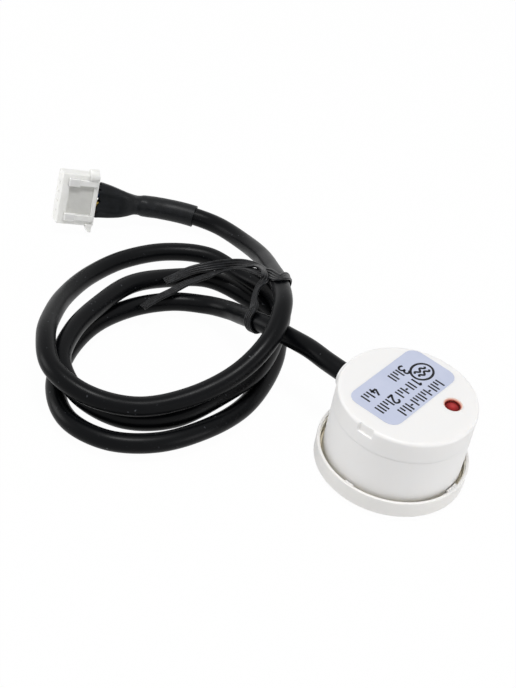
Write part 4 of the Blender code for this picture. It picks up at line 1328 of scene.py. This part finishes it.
@dataclass(frozen=True)
class TopCover:
    """The upper cup: flat top with a rounded edge, two notches, the lamp hole and a spigot."""

    head: HeadSizes
    wall: float = 0.0017
    top: float = 0.0012
    fillet: float = 0.0006
    inner_fillet: float = 0.0003
    flat_edge: float = 0.0008
    notch_width: float = 0.0030
    notch_depth: float = 0.00036
    notch_height: float = 0.0018
    notch_round: float = 0.00014
    notch_margin: float = 0.3
    chamfer: float = 0.0003
    spigot_wall: float = 0.0010
    spigot_middle: float = 0.0107
    spigot_rise: float = 0.0011
    # Half the spigot's opening for the cable, and the radius at which it is that wide
    opening: tuple[float, float] = (0.0021, 0.0108)

    def stations(self) -> list[tuple[float, float]]:
        """Give the angles round the wall with how far each lies in a notch.

        Returns:
            Angle in radians, and 0 for the plain wall to 1 for the notch.
        """
        half = self.notch_width / 2
        edges = [(half + self.notch_round * s, 0.5 - 0.5 * math.sin(s * math.pi / 2)) for s in
                 (-1, -0.7, -0.4, -0.15, 0.15, 0.4, 0.7, 1)]
        turns = {}
        for notch in (90.0, 270.0):
            for reach, share in edges:
                for side in (1, -1):
                    turns[notch + side * math.degrees(math.asin(reach / self.head.radius))] = share
        span = math.degrees(math.asin((half + self.notch_round) / self.head.radius))
        deep = math.degrees(math.asin((half - self.notch_round) / self.head.radius))
        for i in range(self.head.steps):
            angle = 360.0 * i / self.head.steps
            away = abs((angle - 90) % 180)
            away = min(away, 180 - away)
            if away > span + self.notch_margin:
                turns[angle] = 0.0
            elif away < deep - self.notch_margin:
                turns[angle] = 1.0
        return [(math.radians(angle), turns[angle]) for angle in sorted(turns)]

    def wall_profiles(self) -> tuple[list[Point], list[Point]]:
        """Give the plain profile and the notched one, point for point.

        Returns:
            Two lists of radius and height, from the top's inner ring down to the notch's foot.
        """
        out, high = self.head.radius, self.head.height
        bend = self.fillet
        corner = [(out - bend + bend * math.sin(t), high - bend + bend * math.cos(t))
                  for t in (0, 0.35, 0.7, 1.05, 1.35, math.pi / 2)]
        back = out - self.notch_depth
        foot = high - self.notch_height
        small = self.notch_round
        first = (out - self.flat_edge, high)
        plain = [first, *corner, (out, high - 0.0009), (out, high - 0.0012),
                 *((out, foot + up) for up in (0.0003, 0.0002, 0.0001, 0, -small))]
        notched = [first, (back - small, high), (back - small * 0.6, high - small * 0.08),
                   (back - small * 0.2, high - small * 0.4), (back, high - small), (back, high - 0.0006),
                   (back, high - 0.0010), (back, foot + 0.0006), (back, foot + small),
                   (back + small * 0.3, foot + small * 0.3), (back + small, foot), (out - small, foot),
                   (out - small * 0.3, foot - small * 0.3), (out, foot - small)]
        return plain, notched

    def build(self) -> bpy.types.Object:
        """Make the cover.

        Returns:
            The cover.
        """
        skin = Skin()
        stations = self.stations()
        rings = []
        for (r1, z1), (r2, z2) in zip(*self.wall_profiles()):
            rings.append(skin.ring([around(r1 + (r2 - r1) * share, turn, z1 + (z2 - z1) * share)
                                    for turn, share in stations]))
        low = self.head.seam + self.head.seam_gap
        inner = self.head.radius - self.wall
        ceiling = self.head.height - self.top
        inside = filleted(((self.head.radius, low, 0), (inner, low, self.head.seam_edge),
                           (inner, ceiling, self.inner_fillet), (0, ceiling, 0)), closed=False)[:-1]
        for radius, height in inside:
            rings.append(skin.ring([around(radius, turn, height) for turn, _ in stations]))
        for first, second in zip(rings, rings[1:]):
            skin.bridge(first, second)
        self.close_round_lamp(skin, rings[0], rings[-1])
        opening = 2 * math.degrees(math.asin(self.opening[0] / self.opening[1]))
        high = self.head.seam + self.spigot_rise
        foot = self.head.board_top + self.head.seat_gap
        skin.bar(self.spigot_wall, high - foot, math.radians(360 - opening) * self.spigot_middle,
                 bent(self.spigot_middle, (high + foot) / 2, 180 + opening / 2), 0.0001, 120)
        Nozzle(self.head).add(skin, Half.UPPER)
        return skin.piece("cover", Look.CASE, "case_plastic", replaces=["top_cover"])

    def close_round_lamp(self, skin: Skin, top: list[bmesh.types.BMVert],
                         ceiling: list[bmesh.types.BMVert]) -> None:
        """Fill the top and the ceiling round the lamp hole and line the hole.

        Args:
            skin: The cover's skin.
            top: The top's outer ring.
            ceiling: The ceiling's outer ring.
        """
        hole = self.head.lamp_hole
        high = self.head.height
        profile = [(hole + self.chamfer + 0.00006, high), (hole + self.chamfer, high - 0.00002),
                   (hole + 0.00005, high - self.chamfer + 0.00002), (hole, high - self.chamfer - 0.00004),
                   (hole, high - self.top)]
        turns = [math.tau * i / 64 for i in range(64)]
        x, y = self.head.lamp
        rings = [skin.ring([(x + radius * math.cos(t), y + radius * math.sin(t), height) for t in turns])
                 for radius, height in profile]
        for first, second in zip(rings, rings[1:]):
            skin.bridge(first, second)
        for outer, inner in ((top, rings[0]), (ceiling, rings[-1])):
            edges = []
            for loop in (outer, inner):
                for a, b in zip(loop, loop[1:] + loop[:1]):
                    edges.append(skin.work.edges.get((a, b)) or skin.work.edges.new((a, b)))
            bmesh.ops.triangle_fill(skin.work, use_beauty=True, edges=edges)


@dataclass(frozen=True)
class CaseShell:
    """The lower cup: sensing face, wall, bayonet lugs, board ribs and the lower half of the nozzle."""

    head: HeadSizes
    floor: float = 0.0010
    cove: float = 0.0009
    foot_height: float = 0.0009
    foot_radius: float = 0.0117
    face_fillet: float = 0.0002
    edge: float = 0.00012
    lug_reach: float = 0.0005
    lug_root: float = 0.0006
    lug_height: float = 0.0010
    lug_rise: float = 0.00015
    lug_start: float = -8.0
    lug_sweep: float = 10.7
    rib_width: float = 0.0012
    rib_depth: float = 0.0016
    rib_reach: float = 0.0010
    rib_top: float = 0.0080

    def build(self) -> bpy.types.Object:
        """Make the cup with its lugs, ribs and half nozzle.

        Returns:
            The case.
        """
        out = self.head.radius
        bore = out - self.head.wall
        rim = self.head.seam - self.head.seam_gap
        seam_edge = self.head.seam_edge
        profile = filleted((
            (0, self.floor, 0), (bore, self.floor, self.cove), (bore, rim, seam_edge), (out, rim, seam_edge),
            (out, self.foot_height, self.edge), (self.foot_radius, self.foot_height, 0.0001),
            (self.foot_radius, 0, self.face_fillet), (0, 0, 0)), closed=False)
        skin = Skin()
        skin.turn(profile, self.head.steps, closed=False)
        low = self.foot_height + self.lug_rise
        for side in (0.0, 180.0):
            skin.bar(self.lug_root + self.lug_reach, self.lug_height, math.radians(self.lug_sweep) * out,
                     bent(out + (self.lug_reach - self.lug_root) / 2, low + self.lug_height / 2,
                          side + self.lug_start), self.edge, 8)
        for quarter in range(4):
            turn = Matrix.Rotation(math.radians(45 + 90 * quarter), 4, "Z")
            skin.bar(self.rib_width, self.rib_top - low, self.rib_depth,
                     straight(turn, (bore - self.rib_reach, 0, (self.rib_top + low) / 2)), self.edge)
        Nozzle(self.head).add(skin, Half.LOWER)
        return skin.piece("case_cup", Look.CASE, "case_plastic", replaces=["case_shell"])


@dataclass(frozen=True)
class MountingRing:
    """The ring that is stuck to the tank: rim, flange with two windows, bayonet tabs, stops and guides."""

    head: HeadSizes
    inner: float = 0.01345
    outer: float = 0.0140
    height: float = 0.0033
    flange_inner: float = 0.0120
    flange: float = 0.0006
    glue_inner: float = 0.01325
    glue_height: float = 0.0027
    glue_gap: float = 0.3
    edge: float = 0.0001
    tab_gap: float = 0.00025
    tab_sweep: float = 12.0
    tab_thickness: float = 0.0008
    stop_start: float = 4.05
    stop_sweep: float = 1.8
    guide_sweep: float = 7.5
    guide_height: float = 0.0006
    window_start: float = 8.0
    window_sweep: float = 30.0
    # How far the tabs and the flange go into the rim
    root: float = 0.0002
    flange_root: float = 0.0003
    # The cream film's lower and upper face
    film: tuple[float, float] = (0.00008, 0.0004)

    def build_rim(self) -> bpy.types.Object:
        """Turn the rim and add the tabs, stops and guides that hang from it.

        Returns:
            The rim.
        """
        skin = Skin()
        skin.turn(filleted(((self.inner, self.height, 0.00012), (self.outer, self.height, 0.00016),
                            (self.outer, 0, self.edge), (self.inner, 0, self.edge))), 288)
        top = self.height - self.edge
        reach = self.head.radius + self.tab_gap
        middle = self.inner + self.root
        for side in (0.0, 180.0):
            self.bend(skin, (reach, middle), (top - self.tab_thickness, top), side - self.tab_sweep / 2,
                      self.tab_sweep)
            self.bend(skin, (reach, middle), (self.flange / 2, top - self.tab_thickness / 2),
                      side + self.stop_start, self.stop_sweep)
            self.bend(skin, (reach + 0.0001, middle), (top - self.guide_height, top),
                      side + 90 - self.guide_sweep / 2, self.guide_sweep)
        return skin.piece("ring_rim", Look.RING, "ring_plastic", "mounting_ring", ["mounting_ring"])

    def build_flange(self) -> bpy.types.Object:
        """Make the flange in two stretches with windows between them, and the ledge of glue over it.

        Returns:
            The flange.
        """
        skin = Skin()
        outer = self.inner + self.flange_root
        for side in (0.0, 180.0):
            self.bend(skin, (self.flange_inner, outer), (0.0001, self.flange),
                      side + self.window_start + self.window_sweep, 180 - self.window_sweep)
            self.bend(skin, (self.glue_inner, outer), (self.flange / 2, self.glue_height),
                      side + self.tab_sweep / 2 + self.glue_gap, 180 - self.tab_sweep - 2 * self.glue_gap)
        return skin.piece("ring_flange", Look.FLANGE, "ring_plastic", "mounting_ring")

    def build_under_film(self) -> bpy.types.Object:
        """Turn a thin cream film under the flange, which shows through its windows.

        Returns:
            The film.
        """
        skin = Skin()
        inner, outer = self.flange_inner + self.edge, self.inner + self.root
        low, high = self.film
        skin.turn(filleted(((inner, low, 0), (outer, low, 0), (outer, high, self.edge),
                            (inner, high, self.edge))), 192)
        return skin.piece("ring_under_film", Look.ADHESIVE, "ring_plastic", "mounting_ring")

    def bend(self, skin: Skin, radii: Point, heights: Point, start: float, sweep: float) -> None:
        """Add a bar bent round the axis.

        Args:
            skin: The ring's skin.
            radii: Its inner and outer radius.
            heights: Its lower and upper height.
            start: The angle where it starts, in degrees.
            sweep: How far it goes, in degrees.
        """
        middle = (radii[0] + radii[1]) / 2
        skin.bar(radii[1] - radii[0], heights[1] - heights[0], math.radians(sweep) * middle,
                 bent(middle, (heights[0] + heights[1]) / 2, start), 0.00008, max(2, round(sweep)))


@dataclass(frozen=True)
class IndicatorLamp:
    """The round red lamp in the cover's hole, and the rim of that hole with the lamp's painted red light."""

    head: HeadSizes
    radius: float = 0.00138
    sunk: float = 0.00034
    dome: float = 0.00040
    flange: float = 0.00030
    flange_height: float = 0.0008
    # The rim's corners: how far outside the hole, how far over the cover's top, and the fillet
    rim: tuple[Point, ...] = (
        (0.00030, 0.00002, 0.00002), (-0.00003, -0.00030, 0.00002), (-0.00003, -0.0007, 0.00002),
        (0.00008, -0.0007, 0.00002), (0.00008, -0.00030, 0.00002), (0.00036, -0.00003, 0.00001))

    def build(self) -> bpy.types.Object:
        """Turn the lamp with its domed tip.

        Returns:
            The lamp.
        """
        tip = self.head.height - self.sunk
        low = self.head.board_top + self.head.seat_gap
        shoulder = low + self.flange_height
        base = self.radius + self.flange
        dome = [(self.radius * math.sin(t), tip - self.dome + self.dome * math.cos(t))
                for t in np.linspace(0, math.pi / 2, 14)]
        foot = filleted(((self.radius, shoulder, 0), (base, shoulder, 0.0001), (base, low, 0.0001),
                         (0, low, 0)), closed=False)
        skin = Skin()
        skin.turn([*dome, *foot], 64, closed=False, frame=Matrix.Translation((*self.head.lamp, 0)))
        return skin.piece("lamp", Look.LENS, "lens", replaces=["indicator_led"])

    def build_rim(self) -> bpy.types.Object:
        """Turn the thin rim that lines the hole's chamfer and carries the lamp's painted red light.

        Returns:
            The rim.
        """
        profile = filleted([(self.head.lamp_hole + out, self.head.height + up, fillet)
                            for out, up, fillet in self.rim])
        skin = Skin()
        skin.turn(profile, 64, frame=Matrix.Translation((*self.head.lamp, 0)))
        return skin.piece("lamp_rim", Look.LAMP_RIM, "case_plastic")


@dataclass(frozen=True)
class LabelSticker:
    """The pale blue sticker on the cover, with a plain print of marks and the numbers 1 to 4."""

    head: HeadSizes
    size: tuple[float, float] = (0.0105, 0.0200)
    corner: float = 0.0021
    middle: tuple[float, float] = (-0.0018, 0.00085)
    thickness: float = 0.00006
    line_width: float = 0.00038
    ink: float = 0.000012
    bar_height: float = 0.0020
    bar_pitch: float = 0.00078
    digit_height: float = 0.0021
    digit_pitch: float = 0.0019
    digit_bold: float = 1.1
    ring_bold: float = 1.2

    def build_film(self) -> bpy.types.Object:
        """Make the film with its round corners.

        Returns:
            The film.
        """
        skin = Skin()
        skin.prism(rectangle(*self.size), self.thickness, self.upright, self.corner, 0.00002)
        return skin.piece("label_film", Look.FILM, "label_film", replaces=["label"])

    def upright(self, along: float, across: float, up: float) -> Vector:
        """Give the place of a point of the film, whose thickness runs upward."""
        return Vector((self.middle[0] + across, self.middle[1] + up, self.head.height - 0.00001 + along))

    def stroke(self, skin: Skin, points: Sequence[Point], bold: float = 1.0) -> None:
        """Print one stroke.

        Args:
            skin: The print's skin.
            points: Where the stroke goes, as read distance along -Y and height along +X.
            bold: How many line widths it is wide.
        """
        low = self.head.height + self.thickness - 0.00002
        high = low + 0.00001 + self.ink
        path = [Vector((height, -read)) for read, height in points]
        half = self.line_width * bold / 2
        sections = []
        for i, spot in enumerate(path):
            way = (path[min(i + 1, len(path) - 1)] - path[max(i - 1, 0)]).normalized()
            side = Vector((-way.y, way.x)) * half
            left, right = spot + side, spot - side
            sections.append([(*left, low), (*right, low), (*right, high), (*left, high)])
        skin.loft(sections)

    def ellipse(self, centre: Point, radii: Point) -> list[tuple[float, float]]:
        """Give the points of an upright ellipse, in read distance and height."""
        return [(centre[0] + radii[0] * math.cos(t), centre[1] + radii[1] * math.sin(t))
                for t in np.linspace(0, math.tau, 49)]

    def wave(self, start: Point, length: float, rise: float, crests: int) -> list[tuple[float, float]]:
        """Give the points of a wave line.

        Args:
            start: Where it starts, in read distance and height.
            length: How long it is.
            rise: Half the height from trough to crest.
            crests: How many crests it has.

        Returns:
            Its points.
        """
        count = crests * 10
        return [(start[0] + length * i / count, start[1] + rise * math.sin(math.tau * crests * i / count))
                for i in range(count + 1)]

    def number(self, skin: Skin, digit: int, read: float, foot: float, tall: float) -> None:
        """Print one of the numbers 1 to 4.

        Args:
            skin: The print's skin.
            digit: The number.
            read: Where its left edge lies.
            foot: Where its foot lies.
            tall: Its height.
        """
        shapes = {
            1: (((0.10, 0.78), (0.36, 1.0)), ((0.36, 1.0), (0.36, 0.0))),
            2: (Line.through(((0.05, 0.74), (0.14, 0.93), (0.33, 1.0), (0.54, 0.92), (0.59, 0.72),
                              (0.42, 0.42), (0.05, 0.0)), 5).points, ((0.02, 0.04), (0.64, 0.04))),
            3: (Line.through(((0.06, 0.86), (0.28, 1.0), (0.52, 0.91), (0.55, 0.72), (0.40, 0.56),
                              (0.22, 0.54)), 5).points,
                Line.through(((0.22, 0.54), (0.48, 0.49), (0.61, 0.28), (0.50, 0.06), (0.26, 0.0),
                              (0.03, 0.12)), 5).points),
            4: (((0.42, 1.0), (0.02, 0.32)), ((0.0, 0.32), (0.66, 0.32)), ((0.46, 0.62), (0.46, 0.0))),
        }
        for shape in shapes[digit]:
            self.stroke(skin, [(read + x * tall, foot + y * tall) for x, y in shape], self.digit_bold)

    def bars(self, skin: Skin, read: float, foot: float, pattern: str) -> None:
        """Print a row of upright bars and dashes.

        Args:
            skin: The print's skin.
            read: Where the row starts.
            foot: Where its foot lies.
            pattern: T for a tall bar, s for a short one and - for a dash.
        """
        for mark in pattern:
            self.stroke(skin, [(read + x, foot + y * self.bar_height) for x, y in MARKS[mark]])
            read += self.bar_pitch

    def build_print(self) -> bpy.types.Object:
        """Print the ring with its wave, the rows of bars and the four numbers.

        Returns:
            The print.
        """
        skin = Skin()
        ring = (-0.0067, -0.0019)
        self.stroke(skin, self.ellipse(ring, (0.00235, 0.00195)), self.ring_bold)
        for up in (0.0005, -0.0005):
            self.stroke(skin, self.wave((ring[0] - 0.0015, ring[1] + up), 0.0030, 0.0003, 2), self.ring_bold)
        rows = (
            (None, -0.0068, 0.0010, "TsTT-TsTTsT-TTsT"),
            (1, -0.0043, -0.0020, "TT-TsT"),
            (2, 0.0025, -0.0020, "TsTTT"),
            (3, -0.0052, -0.0054, "TsTT"),
            (4, 0.0036, -0.0054, "TsT"),
        )
        for digit, read, foot, pattern in rows:
            if digit:
                self.number(skin, digit, read, foot, self.digit_height)
                read += self.digit_pitch
            self.bars(skin, read, foot, pattern)
        return skin.piece("label_print", Look.INK, "label_film", crease=60.0)


@dataclass(frozen=True)
class InnerParts:
    """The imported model's own nodes that stay, with the finish that each gets."""

    looks: dict[str, Look] = field(default_factory=lambda: {
        "circuit_board": Look.BOARD, "sensing_electrode": Look.COPPER, "contact_spring": Look.SPRING,
        "sensing_chip": Look.CHIP, "voltage_regulator": Look.CHIP, "output_transistor": Look.CHIP,
        "capacitor_1": Look.CERAMIC, "capacitor_2": Look.CERAMIC, "resistor_1": Look.RESISTOR,
        "resistor_2": Look.RESISTOR, "resistor_3": Look.RESISTOR})
    cores: tuple[Look, ...] = (Look.BROWN, Look.YELLOW, Look.BLUE, Look.BLACK)

    def dress(self, nodes: dict[str, bpy.types.Object]) -> list[str]:
        """Give the nodes their materials.

        Args:
            nodes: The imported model's nodes by name.

        Returns:
            The names of the nodes that lie on the cable.
        """
        looks = dict(self.looks)
        on_cable = []
        for number, look in enumerate(self.cores, 1):
            looks[f"board_core_{number}"] = look
            looks[f"plug_wire_{number}"] = look
            looks[f"crimp_terminal_{number}"] = Look.BRASS
            on_cable += [f"plug_wire_{number}", f"crimp_terminal_{number}"]
        for name, look in looks.items():
            mesh = nodes[name].data
            mesh.materials.clear()
            mesh.materials.append(look.material())
            mesh.shade_smooth()
            mesh.set_sharp_from_angle(angle=math.radians(35))
        LOG.info("inner parts: %d nodes dressed", len(looks))
        return on_cable


@dataclass(frozen=True)
class Lamp:
    """One soft lamp: where it hangs, where it looks, its side and its power in watts."""

    name: str
    place: Point
    target: Point
    side: float
    power: float

    def build(self) -> None:
        """Hang the lamp."""
        data = bpy.data.lights.new(self.name, "AREA")
        data.shape = "SQUARE"
        data.size = self.side
        data.energy = self.power
        lamp = bpy.data.objects.new(self.name, data)
        lamp.location = self.place
        lamp.rotation_euler = (Vector(self.target) - Vector(self.place)).to_track_quat("-Z", "Y").to_euler()
        bpy.context.scene.collection.objects.link(lamp)


@dataclass(frozen=True)
class Studio:
    """The pale floor, the even surroundings and the soft lamps."""

    floor_side: float = 4.0
    # Just below the lowest piece
    floor_height: float = -0.0009
    floor_colour: str = "F4F4F4"
    shown_white: float = 0.98
    surround: float = 0.36
    lamps: tuple[Lamp, ...] = (
        Lamp("overhead_softbox", (0.0, -0.06, 0.60), (-0.03, 0.0, 0.0), 0.12, 1.93),
        Lamp("right_fill", (0.50, 0.10, 0.10), (0.0, 0.0, 0.01), 0.30, 0.85),
        Lamp("left_fill", (-0.48, -0.32, 0.12), (0.0, 0.0, 0.01), 0.30, 1.1),
    )

    def plain_rays(self, tree: bpy.types.NodeTree) -> bpy.types.Node:
        """Add the share of rays that see the background: camera, glossy and transmission.

        Args:
            tree: The tree that gets it.

        Returns:
            The node whose value is 1 for those rays.
        """
        rays = add_node(tree, "ShaderNodeLightPath")
        seen = add_node(tree, "ShaderNodeMath", {"operation": "MAXIMUM"},
                        {0: (rays, "Is Camera Ray"), 1: (rays, "Is Glossy Ray")})
        return add_node(tree, "ShaderNodeMath", {"operation": "MAXIMUM"},
                        {0: (seen, "Value"), 1: (rays, "Is Transmission Ray")})

    def build_floor(self) -> None:
        """Lay the floor, which shows nearly white and keeps the object's soft shadow."""
        mesh = bpy.data.meshes.new("studio_floor")
        corners = [(x, y, 0) for x, y in rectangle(self.floor_side, self.floor_side)]
        mesh.from_pydata(corners, [], [(0, 1, 2, 3)])
        material = bpy.data.materials.new("matt_card_white")
        material.use_nodes = True
        tree = material.node_tree
        tree.nodes.clear()
        card = add_node(tree, "ShaderNodeBsdfDiffuse", {"Color": linear(self.floor_colour)})
        white = add_node(tree, "ShaderNodeEmission", {"Strength": 1.0})
        share = add_node(tree, "ShaderNodeMath", {"operation": "MULTIPLY", 1: self.shown_white},
                         {0: (self.plain_rays(tree), "Value")})
        mix = add_node(tree, "ShaderNodeMixShader", links={
            0: (share, "Value"), 1: (card, "BSDF"), 2: (white, "Emission")})
        add_node(tree, "ShaderNodeOutputMaterial", links={"Surface": (mix, "Shader")})
        mesh.materials.append(material)
        floor = bpy.data.objects.new("studio_floor", mesh)
        floor.location = (0, 0, self.floor_height)
        bpy.context.scene.collection.objects.link(floor)

    def build_world(self) -> None:
        """Surround the object with even white light, and show plain white behind it."""
        world = bpy.data.worlds.new("studio_surround")
        bpy.context.scene.world = world
        world.use_nodes = True
        tree = world.node_tree
        tree.nodes.clear()
        light = add_node(tree, "ShaderNodeBackground", {"Strength": self.surround})
        shown = add_node(tree, "ShaderNodeBackground", {"Strength": 1.0})
        mix = add_node(tree, "ShaderNodeMixShader", links={
            0: (self.plain_rays(tree), "Value"), 1: (light, "Background"), 2: (shown, "Background")})
        add_node(tree, "ShaderNodeOutputWorld", links={"Surface": (mix, "Shader")})
        for background in (light, shown):
            background.inputs["Color"].default_value = (1.0, 1.0, 1.0, 1.0)

    def build(self) -> None:
        """Set up floor, surroundings and lamps."""
        self.build_floor()
        self.build_world()
        for lamp in self.lamps:
            lamp.build()
        bpy.context.scene.view_settings.view_transform = "Standard"


def main() -> None:
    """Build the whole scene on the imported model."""
    logging.basicConfig(level=logging.INFO, format="%(name)s: %(message)s")
    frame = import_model()
    StudioCamera().build()
    plug = PlugPlace()
    way = CableWay(plug)
    cable = Cable(way)
    jacket = cable.build()
    carried = InnerParts().dress(frame["nodes"])
    sleeve = HeatShrinkSleeve(way).build()
    connector = ConnectorHousing(plug)
    housing = connector.build()
    window = connector.build_recess_shade()
    tie = TwistTie(way).build()
    cable.declare()
    head = HeadSizes()
    TopCover(head).build()
    CaseShell(head).build()
    ring = MountingRing(head)
    ring.build_rim()
    ring.build_flange()
    ring.build_under_film()
    lamp = IndicatorLamp(head)
    lamp.build()
    lamp.build_rim()
    label = LabelSticker(head)
    label.build_film()
    label.build_print()
    Studio().build()


if __name__ == "__main__":
    main()
